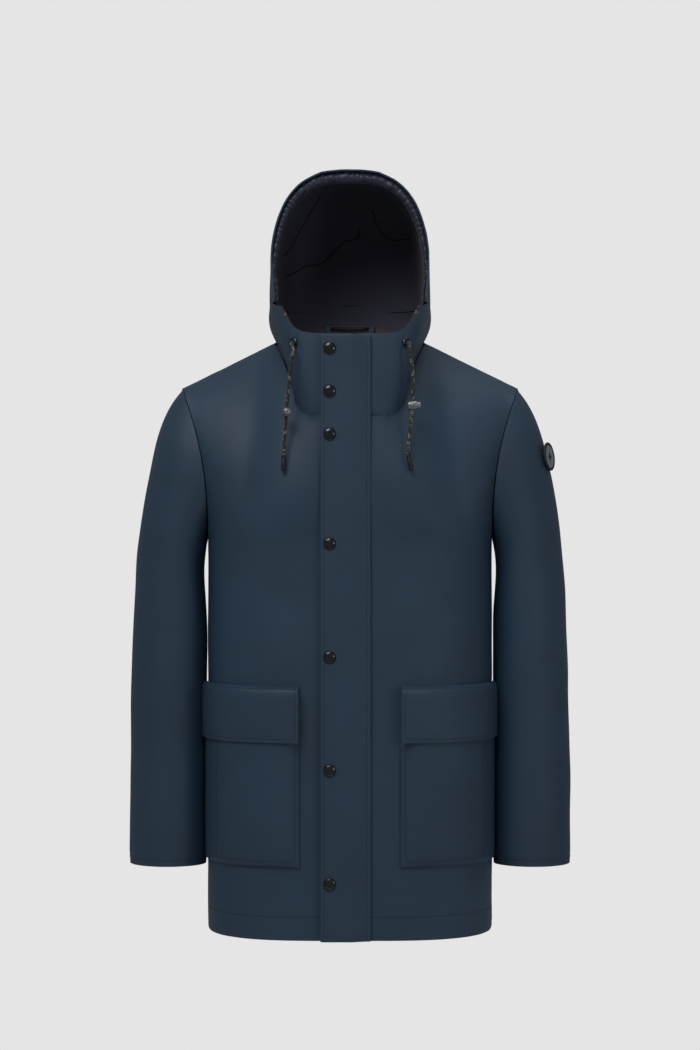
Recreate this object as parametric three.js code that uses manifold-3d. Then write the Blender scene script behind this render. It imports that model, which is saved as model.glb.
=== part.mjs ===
// Hooded foul weather jacket, three-quarter length, standing as worn with nobody inside.
// Millimetres. +X is the wearer's left, -Y is the front, +Z is up.
// The origin is the middle of the neck, level with the inner ends of the shoulder seams.
import * as THREE from 'three';
import { mergeVertices } from 'three/addons/utils/BufferGeometryUtils.js';
import Module from 'manifold-3d';

// ---- Driving sizes ----------------------------------------------------------------------

// Cloth and the clearances between its layers
const CLOTH = 2.2;
const LINING = 1.2;
const SEAM_GAP = 0.6;
const LINING_STEP = 5;
const REST_GAP = 0.3;

// Torso
const HALF_WIDTH = 199;
const FRONT_DEPTH = 130;
const BACK_DEPTH = 118;
const HEM_Z = -807;
const UNDERARM_Z = -275;
const PLACKET_HALF = 45;
const FRONT_EDGE = 9;
const SHOULDER_OUT = 36;
const SHOULDER_TIP_Z = -56;
const SHOULDER_TIP_Y = 5;
const ARMHOLE_FRONT = 72;
const ARMHOLE_BACK = 78;
const ARMHOLE_SCOOP = 16;
const CHEST_FULLNESS = 9;
const HEM_DEPTH = 33;

// Neck, collar and hood
const NECK_FRONT_Z = -99;
const CHIN_Z = 10;
const HOOD_SPLIT_Z = 56;
const COLLAR_FULLNESS = 5;
const HOOD_HALF = 113;
const HOOD_STRIP_HALF = 40;
const HOOD_TOP_Z = 240;
const HOOD_BACK = 117;

// Sleeves
const CUFF_Z = -720;
const SLEEVE_CLEAR = 4;
const CUFF_WIDTH = 107;
const CUFF_HALF_DEPTH = 50;
const BADGE_R = 20;
const BADGE_THICK = 2.6;

// Storm flap and its snap fasteners
const FLAP_LEFT = 28;
const FLAP_RIGHT = 40;
const FLAP_STAND = 8;
const FLAP_THICK = 3;
const SNAP_X = -27.4;
const SNAP_TOP_Z = -11;
const SNAP_PITCH_NECK = 57.5;
const SNAP_WAIST_Z = -273;
const SNAP_PITCH_BODY = 152;
const SNAP_CAP_R = 8.5;
const SNAP_CAP_RISE = 3;
const SNAP_RIVET_R = 2.8;
const SNAP_SOCKET_R = 6;
const SNAP_SOCKET_THICK = 3;
const SNAP_STUD_R = 2.5;
const SNAP_CLEAR = 0.4;

// Front zip
const TEETH_SPLIT = 0.9;
const TEETH_HALF = 3;
const TEETH_THICK = 4.4;
const TAPE_HALF = 16;
const TAPE_THICK = 1;
const SLIDER_HALF = 6.4;
const SLIDER_HEIGHT = 17;
const SLIDER_WALL = 1.4;
const SLIDER_POST = 0.5;
const SLIDER_NOSE = 3;
const PULL_LENGTH = 34;
const PULL_WIDTH = 6;
const PULL_THICK = 1.6;

// Patch pockets
const POCKET_INNER_X = 68;
const POCKET_TOP_Z = -474;
const POCKET_BOTTOM_Z = -709;
const POCKET_DEPTH = 13;
const POCKET_SIDE_DEPTH = 4.4;
const POCKET_GUSSET = 10;
const POCKET_OUTER = 0.93;
const POCKET_FLAP_TOP_Z = -463;
const POCKET_FLAP_DROP = 77;
const POCKET_FLAP_GAP = 1.8;
const POCKET_REST = 1.2;

// Drawcord, its eyelets, stoppers and end tips
const CORD_R = 2.3;
const CORD_STAND = 1;
const EYELET_R = 7.2;
const EYELET_BORE_R = 3.2;
const EYELET_BARREL_R = 4.2;
const STOPPER_R = 6;
const STOPPER_LENGTH = 12;
const STOPPER_WALL = 1.2;
const STOPPER_CORD_CLEAR = 0.7;
const PLUNGER_RISE = 5.5;
const TIP_R = 3;
const TIP_LENGTH = 23;
const TIP_GAP = 0.8;

// Hanger loop at the back of the neck
const LOOP_WIDTH = 70;
const LOOP_DROP = 14;
const LOOP_TAPE = 8;
const LOOP_THICK = 2;

// ---- Finishes ---------------------------------------------------------------------------

const finish = (color, roughness, metalness = 0) =>
  new THREE.MeshStandardMaterial({ color, roughness, metalness });
const SHELL = finish(0x2d4356, 0.62);
const LINING_CLOTH = finish(0x15161d, 0.85);
const SATIN = finish(0x1e2340, 0.45);
const GUNMETAL = finish(0x26282b, 0.32, 0.9);
const GREY_METAL = finish(0x8d8f92, 0.3, 0.9);
const BRAID = finish(0x2b2a26, 0.8);
const TIP_PLASTIC = finish(0x1a1b1d, 0.4);
const ZIP_TAPE = finish(0x1f2d3b, 0.8);
const BADGE_CLOTH = finish(0x9a9fa3, 0.7);

const jacket = new THREE.Group();

function addPiece(name, geometry, material) {
  const piece = new THREE.Mesh(geometry, material);
  piece.name = name;
  jacket.add(piece);
  return piece;
}

// ---- Solids from cloth surfaces ---------------------------------------------------------

const vec = (x, y, z) => new THREE.Vector3(x, y, z);
const SIDES = [['left', 1], ['right', -1]];
const mirrored = (point, side) => vec(point.x * side, point.y, point.z);
const smooth = (t) => {
  const s = Math.min(1, Math.max(0, t));
  return s * s * (3 - 2 * s);
};

// A closed solid of a grid of outer points and the matching inner points. A column that
// shrinks to a point, as at a panel's tip, is allowed.
function gridSolid(outer, inner, wrap) {
  const columns = outer.length;
  const rows = outer[0].length;
  const points = [...outer.flat(), ...inner.flat()];
  const at = (layer, i, j) => layer * columns * rows + (i % columns) * rows + j;
  const faces = [];
  const quad = (a, b, c, d) => faces.push([a, b, c], [a, c, d]);
  const lastColumn = wrap ? columns : columns - 1;
  for (let i = 0; i < lastColumn; i += 1) {
    for (let j = 0; j < rows - 1; j += 1) {
      quad(at(0, i, j), at(0, i + 1, j), at(0, i + 1, j + 1), at(0, i, j + 1));
      quad(at(1, i, j), at(1, i, j + 1), at(1, i + 1, j + 1), at(1, i + 1, j));
    }
    quad(at(0, i, 0), at(1, i, 0), at(1, i + 1, 0), at(0, i + 1, 0));
    quad(at(0, i, rows - 1), at(0, i + 1, rows - 1), at(1, i + 1, rows - 1), at(1, i, rows - 1));
  }
  if (!wrap) {
    const end = columns - 1;
    for (let j = 0; j < rows - 1; j += 1) {
      quad(at(0, 0, j), at(0, 0, j + 1), at(1, 0, j + 1), at(1, 0, j));
      quad(at(0, end, j), at(1, end, j), at(1, end, j + 1), at(0, end, j + 1));
    }
  }
  const same = (a, b) => points[a].distanceTo(points[b]) < 1e-3;
  const kept = faces.filter(([a, b, c]) => !same(a, b) && !same(b, c) && !same(a, c));
  return closedGeometry(points, kept);
}

// Triangles as one geometry with every face turned outwards.
function closedGeometry(points, faces) {
  const volume = faces.reduce((sum, [a, b, c]) =>
    sum + points[a].dot(points[b].clone().cross(points[c])), 0);
  const turned = volume < 0 ? faces.map(([a, b, c]) => [a, c, b]) : faces;
  const geometry = new THREE.BufferGeometry();
  const flat = turned.flat().flatMap((i) => points[i].toArray());
  geometry.setAttribute('position', new THREE.Float32BufferAttribute(flat, 3));
  return mergeVertices(geometry, 1e-3);
}

// A sheet of cloth over surface(u, v), both from 0 to 1. Its two faces lie at the depths
// from and to below the surface, along inward(point).
function clothSheet(surface, inward, columns, rows, from, to, wrap = false) {
  const layer = (depth) => {
    const grid = [];
    const lines = wrap ? columns : columns + 1;
    for (let i = 0; i < lines; i += 1) {
      const line = [];
      for (let j = 0; j <= rows; j += 1) {
        const point = surface(i / columns, j / rows);
        line.push(point.clone().addScaledVector(inward(point), depth));
      }
      grid.push(line);
    }
    return grid;
  };
  return gridSolid(layer(from), layer(to), wrap);
}

// A smooth curve through points, read from 0 to 1 with an equal share for each span.
function route(points) {
  const curve = new THREE.CatmullRomCurve3(points, false, 'centripetal');
  return (t) => curve.getPoint(Math.min(1, Math.max(0, t)));
}

// ---- Neckline and the hood's outline ----------------------------------------------------

const neckFront = route([
  vec(FRONT_EDGE, -FRONT_DEPTH, NECK_FRONT_Z),
  vec(PLACKET_HALF, -FRONT_DEPTH, NECK_FRONT_Z),
  vec(66, 12 - FRONT_DEPTH, NECK_FRONT_Z + 3),
  vec(78, 38 - FRONT_DEPTH, NECK_FRONT_Z + 27),
  vec(84, -62, -36),
  vec(98, -22, -6),
  vec(107, 16, 8),
]);
const neckBack = route([vec(107, 16, 8), vec(92, 62, 22), vec(52, 92, 31), vec(0, 102, 34)]);
const rimBase = vec(104, -88, HOOD_SPLIT_Z);
const chinEdge = route([
  vec(FRONT_EDGE, -FRONT_DEPTH, CHIN_Z),
  vec(PLACKET_HALF, -FRONT_DEPTH, CHIN_Z),
  vec(68, 6 - FRONT_DEPTH, CHIN_Z + 3),
  vec(90, 24 - FRONT_DEPTH, CHIN_Z + 22),
  rimBase,
]);
const sideTop = route([rimBase, vec(112, -35, HOOD_SPLIT_Z), vec(HOOD_HALF, 12, HOOD_SPLIT_Z)]);
const backTop = route([
  vec(HOOD_HALF, 12, HOOD_SPLIT_Z),
  vec(98, 76, HOOD_SPLIT_Z),
  vec(HOOD_STRIP_HALF, HOOD_BACK - 5, HOOD_SPLIT_Z),
  vec(0, HOOD_BACK, HOOD_SPLIT_Z),
]);
const RIM_SHARE = 4 / 6;
const frontTop = (t) => (t <= RIM_SHARE
  ? chinEdge(t / RIM_SHARE)
  : sideTop((t - RIM_SHARE) / (1 - RIM_SHARE)));

// ---- Torso ------------------------------------------------------------------------------

const shoulderTip = vec(HALF_WIDTH + SHOULDER_OUT, SHOULDER_TIP_Y, SHOULDER_TIP_Z);
const underarm = vec(HALF_WIDTH, 0, UNDERARM_Z);
const armholeMid = shoulderTip.clone().add(underarm).multiplyScalar(0.5);

// The armhole seam: 0 at the shoulder tip, PI / 2 at the front, PI under the arm.
function armhole(angle) {
  const depth = Math.sin(angle) > 0 ? ARMHOLE_FRONT : ARMHOLE_BACK;
  const half = shoulderTip.clone().sub(underarm).multiplyScalar(0.5);
  const point = armholeMid.clone().addScaledVector(half, Math.cos(angle));
  point.y -= depth * Math.sin(angle);
  point.x -= ARMHOLE_SCOOP * Math.sin(angle) ** 2;
  return point;
}

// Half of a level section of the body, from its centre line at 0 to the side seam at 1.
function section(share, z, depth, flat) {
  const flatShare = 0.14;
  if (share < flatShare) {
    return vec(FRONT_EDGE + (flat - FRONT_EDGE) * (share / flatShare), -depth, z);
  }
  const angle = ((share - flatShare) / (1 - flatShare)) * (Math.PI / 2);
  const x = flat + (HALF_WIDTH - flat) * Math.sin(angle) ** 0.8;
  return vec(x, -depth * Math.max(0, Math.cos(angle)) ** 0.8, z);
}

// Share of a front's or back's top edge that is neckline; the rest is shoulder seam.
const NECK_SHARE = 0.58;
const CHEST_SHARE = 0.5;

function torsoHalf(share, height, front) {
  const depth = front ? FRONT_DEPTH : -BACK_DEPTH;
  if (height <= CHEST_SHARE) {
    const z = HEM_Z + (UNDERARM_Z - HEM_Z) * (height / CHEST_SHARE);
    return section(share, z, depth, PLACKET_HALF);
  }
  const v = (height - CHEST_SHARE) / (1 - CHEST_SHARE);
  const neck = front ? neckFront : (t) => neckBack(1 - t);
  const neckPoint = front ? neckFront(1) : neckBack(0);
  const top = (u) => (u < NECK_SHARE
    ? neck(u / NECK_SHARE)
    : neckPoint.clone().lerp(shoulderTip, (u - NECK_SHARE) / (1 - NECK_SHARE)));
  const side = (t) => armhole((front ? 1 : -1) * Math.PI * (1 - t));
  const low = (u) => section(u, UNDERARM_Z, depth, PLACKET_HALF);
  const centre = (t) => low(0).lerp(top(0), t);
  const edges = low(share).multiplyScalar(1 - v).addScaledVector(top(share), v)
    .addScaledVector(centre(v), 1 - share).addScaledVector(side(v), share);
  const corners = low(0).multiplyScalar((1 - share) * (1 - v))
    .addScaledVector(low(1), share * (1 - v))
    .addScaledVector(top(0), (1 - share) * v)
    .addScaledVector(top(1), share * v);
  const point = edges.sub(corners);
  const fullness = Math.max(0, share - 0.14) / 0.86;
  point.y -= Math.sign(depth) * CHEST_FULLNESS * Math.sin(Math.PI * fullness) * Math.sin(Math.PI * v);
  return point;
}

// Into the torso from its cloth, towards a T of the spine and the shoulders.
function intoTorso(point) {
  const reach = HALF_WIDTH * 0.7;
  const x = Math.min(reach, Math.max(-reach, point.x)) * 0.9;
  return vec(x, 0, Math.min(point.z, UNDERARM_Z + 75)).sub(point).normalize();
}

// Cloth grids: the lining shares the shell's lines, so the two stay parallel.
const FRONT_COLUMNS = 8;
const BACK_COLUMNS = 16;
const TORSO_ROWS = 12;

// The shoulder and side seams leave this much of each panel's share free.
const SEAM_SHARE = SEAM_GAP / 260;
const frontPanel = (u, v) => torsoHalf(u * (1 - SEAM_SHARE), v * (1 - SEAM_SHARE), true);
for (const [name, side] of SIDES) {
  const surface = (u, v) => mirrored(frontPanel(u, v), side);
  const geometry = clothSheet(surface, intoTorso, FRONT_COLUMNS, TORSO_ROWS, 0, CLOTH);
  addPiece(`front_panel_${name}`, geometry, SHELL);
}
const backHalf = (share, v) => {
  const point = torsoHalf(share * (1 - SEAM_SHARE), v * (1 - SEAM_SHARE), false);
  if (share === 0) point.x = 0;
  return point;
};
const backPanel = (u, v) => mirrored(backHalf(Math.abs(2 * u - 1), v), u < 0.5 ? -1 : 1);
addPiece('back_panel', clothSheet(backPanel, intoTorso, BACK_COLUMNS, TORSO_ROWS, 0, CLOTH), SHELL);

// The torso lining hangs inside the shell, from front edge round the back to front edge.
const liningDepth = CLOTH + LINING_STEP;
const liningLines = [];
for (let i = 1; i <= FRONT_COLUMNS; i += 1) {
  liningLines.push((v) => mirrored(frontPanel(i / FRONT_COLUMNS, v), -1));
}
for (let i = 1; i < BACK_COLUMNS; i += 1) liningLines.push((v) => backPanel(i / BACK_COLUMNS, v));
for (let i = FRONT_COLUMNS; i >= 1; i -= 1) liningLines.push((v) => frontPanel(i / FRONT_COLUMNS, v));
const liningLayer = (depth) => liningLines.map((line) => {
  const points = [];
  for (let j = 1; j < TORSO_ROWS; j += 1) {
    const point = line(j === 1 ? 0.05 : j / TORSO_ROWS);
    points.push(point.clone().addScaledVector(intoTorso(point), depth));
  }
  return points;
});
addPiece('torso_lining',
  gridSolid(liningLayer(liningDepth), liningLayer(liningDepth + LINING), false), LINING_CLOTH);

// ---- Collar -----------------------------------------------------------------------------

const intoNeck = (point) => vec(point.x * 0.1, point.y * 0.1, point.z).sub(point).normalize();
const COLLAR_BACK_SHARE = 1 / 3;
const COLLAR_LIFT = 3.5;

function collarHalf(u, v) {
  const front = u <= 1 - COLLAR_BACK_SHARE;
  const t = front ? u / (1 - COLLAR_BACK_SHARE) : (u - 1 + COLLAR_BACK_SHARE) / COLLAR_BACK_SHARE;
  const low = front ? neckFront(t) : neckBack(t);
  const high = front ? frontTop(t) : backTop(t);
  low.z += COLLAR_LIFT;
  const point = low.lerp(high, v);
  const away = point.x > PLACKET_HALF ? smooth((point.x - PLACKET_HALF) / 30) : 0;
  return point.addScaledVector(intoNeck(point), -COLLAR_FULLNESS * away * Math.sin(Math.PI * v));
}

// manifold-3d joins and cuts closed solids.
const wasm = await Module();
wasm.setup();
function solid(geometry) {
  const bare = geometry.clone();
  bare.deleteAttribute('normal');
  bare.deleteAttribute('uv');
  const merged = mergeVertices(bare, 1e-4);
  const vertProperties = new Float32Array(merged.attributes.position.array);
  const triVerts = new Uint32Array(merged.index.array);
  return new wasm.Manifold(new wasm.Mesh({ numProp: 3, vertProperties, triVerts }));
}
function geometryOf(manifold) {
  const mesh = manifold.getMesh();
  const geometry = new THREE.BufferGeometry();
  geometry.setAttribute('position', new THREE.BufferAttribute(mesh.vertProperties, 3));
  geometry.setIndex(new THREE.BufferAttribute(mesh.triVerts, 1));
  return geometry;
}

// A turned piece whose axis starts at a point and runs along a direction.
function turned(profile, segments, at, along) {
  const area = profile.reduce((sum, [r, h], i) => {
    const [nextR, nextH] = profile[(i + 1) % profile.length];
    return sum + r * nextH - nextR * h;
  }, 0);
  const line = area > 0 ? profile : [...profile].reverse();
  const geometry = new THREE.LatheGeometry(line.map(([r, h]) => new THREE.Vector2(r, h)), segments);
  const spin = new THREE.Quaternion().setFromUnitVectors(vec(0, 1, 0), along.clone().normalize());
  geometry.applyQuaternion(spin);
  geometry.translate(at.x, at.y, at.z);
  return geometry;
}

// The eyelet's flange clears the collar's curve by EYELET_STAND.
const EYELET_STAND = 1.1;
const EYELET_DEPTH = 5;
const EYELET_U = 0.26;
const EYELET_V = 0.8;
const eyeletAt = collarHalf(EYELET_U, EYELET_V);
const eyeletOut = intoNeck(eyeletAt).negate();
const holeDepth = 14;
for (const [name, side] of SIDES) {
  const surface = (u, v) => mirrored(collarHalf(Math.min(u, 1 - 0.0015), v), side);
  const sheet = clothSheet(surface, intoNeck, 15, 4, 0, CLOTH);
  const out = mirrored(eyeletOut, side);
  const start = mirrored(eyeletAt, side).addScaledVector(out, -holeDepth / 2);
  const holeR = EYELET_BARREL_R + REST_GAP;
  const hole = turned([[0, 0], [holeR, 0], [holeR, holeDepth], [0, holeDepth]], 12, start, out);
  addPiece(`collar_${name}`, geometryOf(solid(sheet).subtract(solid(hole))), SHELL);

  const face = EYELET_STAND;
  const eyelet = turned([
    [EYELET_BORE_R, face - EYELET_DEPTH], [EYELET_BARREL_R, face - EYELET_DEPTH], [EYELET_BARREL_R, face],
    [EYELET_R, face], [EYELET_R - 0.6, face + 1.2], [EYELET_BORE_R + 0.5, face + 1.5],
    [EYELET_BORE_R, face + 1], [EYELET_BORE_R, face - EYELET_DEPTH],
  ], 16, mirrored(eyeletAt, side), out);
  addPiece(`eyelet_${name}`, eyelet, GUNMETAL);
}

// ---- Hood crown -------------------------------------------------------------------------

const crownProfile = route([
  vec(0, -80, HOOD_TOP_Z - 2),
  vec(0, -10, HOOD_TOP_Z + 3),
  vec(0, 55, HOOD_TOP_Z - 12),
  vec(0, 103, HOOD_TOP_Z - 65),
  vec(0, HOOD_BACK + 4, HOOD_TOP_Z - 130),
  vec(0, HOOD_BACK, HOOD_SPLIT_Z),
]);
const SIDE_BASE_SHARE = 0.45;
const ROUNDNESS = 2 / 2.8;

// Arch number k of the crown, from the rim at 0 to the nape at 1; the angle runs from the
// base at 0 to the ridge at PI / 2.
function crownArch(k, angle) {
  const base = k <= SIDE_BASE_SHARE
    ? sideTop(k / SIDE_BASE_SHARE)
    : backTop(((k - SIDE_BASE_SHARE) / (1 - SIDE_BASE_SHARE)) * (2 / 3));
  const top = crownProfile(k);
  const h = Math.sin(angle) ** ROUNDNESS;
  const spread = Math.max(0, HOOD_HALF - base.x) * (1 - k) ** 1.5 * smooth(h / 0.25);
  const x = (base.x + spread) * Math.max(0, Math.cos(angle)) ** ROUNDNESS;
  const z = base.z + SEAM_GAP + (top.z - base.z) * h;
  return vec(x, base.y + (top.y - base.y) * h, z);
}
const seamAngle = (k) => {
  const base = crownArch(k, 0.35).x / Math.cos(0.35) ** ROUNDNESS;
  return Math.acos(Math.min(1, HOOD_STRIP_HALF / Math.max(base, HOOD_STRIP_HALF)) ** (1 / ROUNDNESS));
};
const intoHood = (point) => {
  const core = vec(point.x * 0.25, 10 + (point.y - 10) * 0.3, 0);
  core.z = HOOD_SPLIT_Z + (Math.max(point.z, HOOD_SPLIT_Z) - HOOD_SPLIT_Z) * 0.45;
  return core.sub(point).normalize();
};
const SEAM_ANGLE = 0.006;
for (const [name, side] of SIDES) {
  const panel = (u, v) => mirrored(crownArch(u, v * Math.max(0, seamAngle(u) - SEAM_ANGLE)), side);
  addPiece(`hood_side_${name}`, clothSheet(panel, intoHood, 9, 6, 0, CLOTH), SHELL);
}
const strip = (u, v) => {
  const k = Math.min(u, 0.995);
  const across = 2 * v - 1;
  const from = seamAngle(k) + SEAM_ANGLE;
  const angle = from + (Math.PI / 2 - from) * (1 - Math.abs(across));
  return mirrored(crownArch(k, angle), across < 0 ? -1 : 1);
};
addPiece('hood_centre_strip', clothSheet(strip, intoHood, 9, 4, 0, CLOTH), SHELL);

// A whole arch from the left base (0) to the right base (1), for what lies inside.
const wholeArch = (k, v) => {
  const side = v < 0.5 ? 1 : -1;
  return mirrored(crownArch(k, (Math.PI / 2) * (1 - Math.abs(2 * v - 1))), side);
};
const hoodLining = (u, v) => wholeArch(0.09 + 0.86 * u, v);
addPiece('hood_lining',
  clothSheet(hoodLining, intoHood, 8, 12, liningDepth, liningDepth + LINING), LINING_CLOTH);

// The gathered tunnel round the face lies on the lining, behind the drawcord.
const TUNNEL_IN = CLOTH + 2.2 * CORD_R + 6.5;
const tunnelBand = (u, v) => wholeArch(0.012 + 0.055 * u, v);
addPiece('hood_tunnel', clothSheet(tunnelBand, intoHood, 1, 20, TUNNEL_IN, TUNNEL_IN + 4), SATIN);

// ---- Drawcord ---------------------------------------------------------------------------

// A cord of round section through points, with both ends square.
function cordTube(points, radius, steps, sides) {
  const curve = new THREE.CatmullRomCurve3(points, false, 'centripetal');
  const outline = new THREE.Shape();
  for (let i = 0; i <= sides; i += 1) {
    const angle = (2 * Math.PI * i) / sides;
    const corner = [radius * Math.cos(angle), radius * Math.sin(angle)];
    if (i === 0) outline.moveTo(...corner);
    else if (i < sides) outline.lineTo(...corner);
  }
  return new THREE.ExtrudeGeometry(outline, { steps, bevelEnabled: false, extrudePath: curve });
}

// Round the face inside the rim, between the shell and the lining.
const cordInset = CLOTH + 1.2 * CORD_R + 4.8;
const tunnelRun = [];
for (let i = 1; i < 24; i += 1) {
  const point = wholeArch(0.03, i / 24);
  tunnelRun.push(point.addScaledVector(intoHood(point), cordInset));
}
addPiece('drawcord_tunnel', cordTube(tunnelRun, CORD_R, 34, 8), BRAID);

// From each eyelet the free end hangs down over the chest: across from the middle, out from
// the front plane, and up from the origin. The first point is in the eyelet's mouth.
const FREE_ENDS = {
  left: [
    [79.4, 6, -11], [82, 7.5, -24], [83.9, 7, -42], [84.3, 6.5, -62], [83.9, 6.4, -82],
    [82.6, 6.8, -100], [80.4, 7.2, -119], [78.3, 7.6, -139], [77.6, 8, -153],
  ],
  right: [
    [76.2, 6, -14], [78.2, 7.5, -27], [80.6, 7, -46], [82.9, 6.5, -66], [84.6, 6.4, -88],
    [86.1, 6.8, -109], [87.6, 7.2, -130], [88.9, 7.6, -153],
  ],
};
const TIP_LEAN = { left: [5, 0, -TIP_LENGTH], right: [0.8, 0, -TIP_LENGTH] };
const STOPPER_Z = { left: -87, right: -97 };
const STOPPER_AXIS = { left: vec(1, 0, 0), right: vec(0.1, -1, 0) };

// The front of the chest at a place across and up, from the nearest point of its panel.
function chestAt(x, z) {
  let nearest = frontPanel(0, 1);
  for (let u = 0; u <= 1; u += 1 / 60) {
    for (let v = CHEST_SHARE; v <= 1; v += 1 / 120) {
      const point = frontPanel(u, v);
      const away = Math.hypot(point.x - x, point.z - z);
      if (away < Math.hypot(nearest.x - x, nearest.z - z)) nearest = point;
    }
  }
  return nearest.y;
}

for (const [name, side] of SIDES) {
  const mouth = mirrored(eyeletAt, side);
  const out = mirrored(eyeletOut, side);
  const path = [
    mouth.clone().addScaledVector(out, -1),
    mouth.clone().addScaledVector(out, 5),
    ...FREE_ENDS[name].map(([x, off, z]) => {
      // Clear of the chest here and where the tip below it hangs.
      const clear = Math.min(chestAt(x, z), chestAt(x, z - TIP_LENGTH)) - TIP_R - CORD_STAND;
      return vec(side * x, Math.min(-FRONT_DEPTH - off, clear), z);
    }),
  ];
  addPiece(`drawcord_${name}`, cordTube(path, CORD_R, 24, 8), BRAID);

  // Inside the collar the cord climbs from the eyelet to the tunnel.
  const foot = mouth.clone().addScaledVector(out, EYELET_STAND - EYELET_DEPTH - 1);
  const lift = vec(0, 0, 1);
  const inner = [foot, foot.clone().addScaledVector(out, -9).addScaledVector(lift, 4)];
  const head = mirrored(wholeArch(0.03, 0.01), side);
  head.addScaledVector(intoHood(head), cordInset + 1);
  head.z = HOOD_SPLIT_Z - 6;
  inner.push(foot.clone().lerp(head, 0.5).addScaledVector(out, -9), head);
  addPiece(`drawcord_run_${name}`, cordTube(inner, CORD_R, 7, 8), BRAID);

  const end = path[path.length - 1];
  const lean = vec(side * TIP_LEAN[name][0], TIP_LEAN[name][1], TIP_LEAN[name][2]).normalize();
  const tip = turned([
    [0, TIP_GAP], [TIP_R, TIP_GAP], [TIP_R, TIP_LENGTH - 2], [TIP_R - 0.8, TIP_LENGTH],
    [0, TIP_LENGTH],
  ], 12, end, lean);
  addPiece(`cord_tip_${name}`, tip, TIP_PLASTIC);

  // The stopper is a short metal barrel across the cord, with a sprung plunger in its end.
  const curve = new THREE.CatmullRomCurve3(path, false, 'centripetal');
  let share = 0.5;
  for (let i = 0; i < 400; i += 1) {
    if (curve.getPoint(i / 400).z > STOPPER_Z[name]) share = i / 400;
  }
  const centre = curve.getPoint(share);
  const across = STOPPER_AXIS[name];
  const start = centre.clone().addScaledVector(across, -STOPPER_LENGTH / 2);
  const boreR = STOPPER_R - STOPPER_WALL;
  const barrel = solid(turned([
    [0, 0], [STOPPER_R - 0.8, 0], [STOPPER_R, 0.8], [STOPPER_R, STOPPER_LENGTH],
    [boreR, STOPPER_LENGTH], [boreR, STOPPER_WALL * 1.5], [0, STOPPER_WALL * 1.5],
  ], 16, start, across));
  const cordHole = solid(turned([
    [0, -STOPPER_R * 2], [CORD_R + STOPPER_CORD_CLEAR, -STOPPER_R * 2],
    [CORD_R + STOPPER_CORD_CLEAR, STOPPER_R * 2], [0, STOPPER_R * 2],
  ], 12, centre, curve.getTangent(share)));
  addPiece(`cord_stopper_${name}`, geometryOf(barrel.subtract(cordHole)), GREY_METAL);
  const stem = boreR - SNAP_CLEAR;
  const plungerFoot = STOPPER_LENGTH / 2 + CORD_R + STOPPER_CORD_CLEAR + 0.6;
  addPiece(`stopper_plunger_${name}`, turned([
    [0, plungerFoot], [stem, plungerFoot], [stem, STOPPER_LENGTH + PLUNGER_RISE - 0.8],
    [stem - 0.8, STOPPER_LENGTH + PLUNGER_RISE], [0, STOPPER_LENGTH + PLUNGER_RISE],
  ], 16, start, across), GREY_METAL);
}

// ---- Sleeves ----------------------------------------------------------------------------

// Outer edge of the hanging sleeve: its reach beyond the body at heights below the shoulder.
const sleeveOuter = route([
  vec(SHOULDER_OUT, 0, SHOULDER_TIP_Z), vec(52, 0, -74), vec(64, 0, -99), vec(74, 0, -132),
  vec(85, 0, -186), vec(95, 0, -240), vec(102, 0, -310), vec(107, 0, -420), vec(110, 0, -540),
  vec(SLEEVE_CLEAR + CUFF_WIDTH, 0, CUFF_Z),
]);
const sleeveInner = route([
  vec(0, 0, UNDERARM_Z), vec(6, 0, UNDERARM_Z - 45), vec(SLEEVE_CLEAR, 0, UNDERARM_Z - 130),
  vec(SLEEVE_CLEAR, 0, CUFF_Z + 150), vec(SLEEVE_CLEAR, 0, CUFF_Z),
]);
const sleeveHalfDepth = (s) => ARMHOLE_FRONT + 3 + (CUFF_HALF_DEPTH - ARMHOLE_FRONT - 3) * s ** 0.8;

// Around the sleeve u runs from the top of the shoulder round the front; v runs to the cuff.
function sleeve(u, v) {
  const angle = 2 * Math.PI * u;
  const outer = sleeveOuter(v);
  const inner = sleeveInner(v);
  const middle = outer.clone().add(inner).multiplyScalar(0.5);
  const half = outer.clone().sub(inner).multiplyScalar(0.5);
  const point = middle.addScaledVector(half, Math.cos(angle));
  point.x += HALF_WIDTH;
  point.y -= sleeveHalfDepth(v) * Math.sin(angle) - SHOULDER_TIP_Y * (0.5 + 0.5 * Math.cos(angle));
  const start = armhole(angle > Math.PI ? angle - 2 * Math.PI : angle);
  const join = smooth(v / 0.22);
  const mixed = start.lerp(point, join);
  mixed.x += SEAM_GAP * 1.5 * (1 - join);
  return mixed;
}
const intoSleeve = (point) => {
  const t = Math.min(1, Math.max(0, (SHOULDER_TIP_Z - 110 - point.z) / 250));
  const core = vec(HALF_WIDTH + 20 + 42 * t, 0, Math.min(point.z, SHOULDER_TIP_Z - 110));
  return core.sub(point).normalize();
};
for (const [name, side] of SIDES) {
  const into = (point) => mirrored(intoSleeve(mirrored(point, side)), side);
  const shell = (u, v) => mirrored(sleeve(u, v), side);
  addPiece(`sleeve_${name}`, clothSheet(shell, into, 16, 11, 0, CLOTH, true), SHELL);
  const inside = (u, v) => mirrored(sleeve(u, 0.05 + 0.9 * v), side);
  addPiece(`sleeve_lining_${name}`,
    clothSheet(inside, into, 12, 5, liningDepth + 1, liningDepth + 1 + LINING, true), LINING_CLOTH);
}

// A round cloth badge on the wearer's left upper arm.
const badgeOut = vec(0.91, -0.4, 0.12).normalize();
const badgeAt = vec(HALF_WIDTH + 76, -17, -153).addScaledVector(badgeOut, 1.4);
addPiece('sleeve_badge', turned([
  [0, 0], [BADGE_R, 0], [BADGE_R, BADGE_THICK], [BADGE_R - 2, BADGE_THICK],
  [BADGE_R - 2.4, BADGE_THICK - 0.8], [0, BADGE_THICK - 0.8],
], 24, badgeAt, badgeOut), BADGE_CLOTH);

// ---- Storm flap and snap fasteners ------------------------------------------------------

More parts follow.
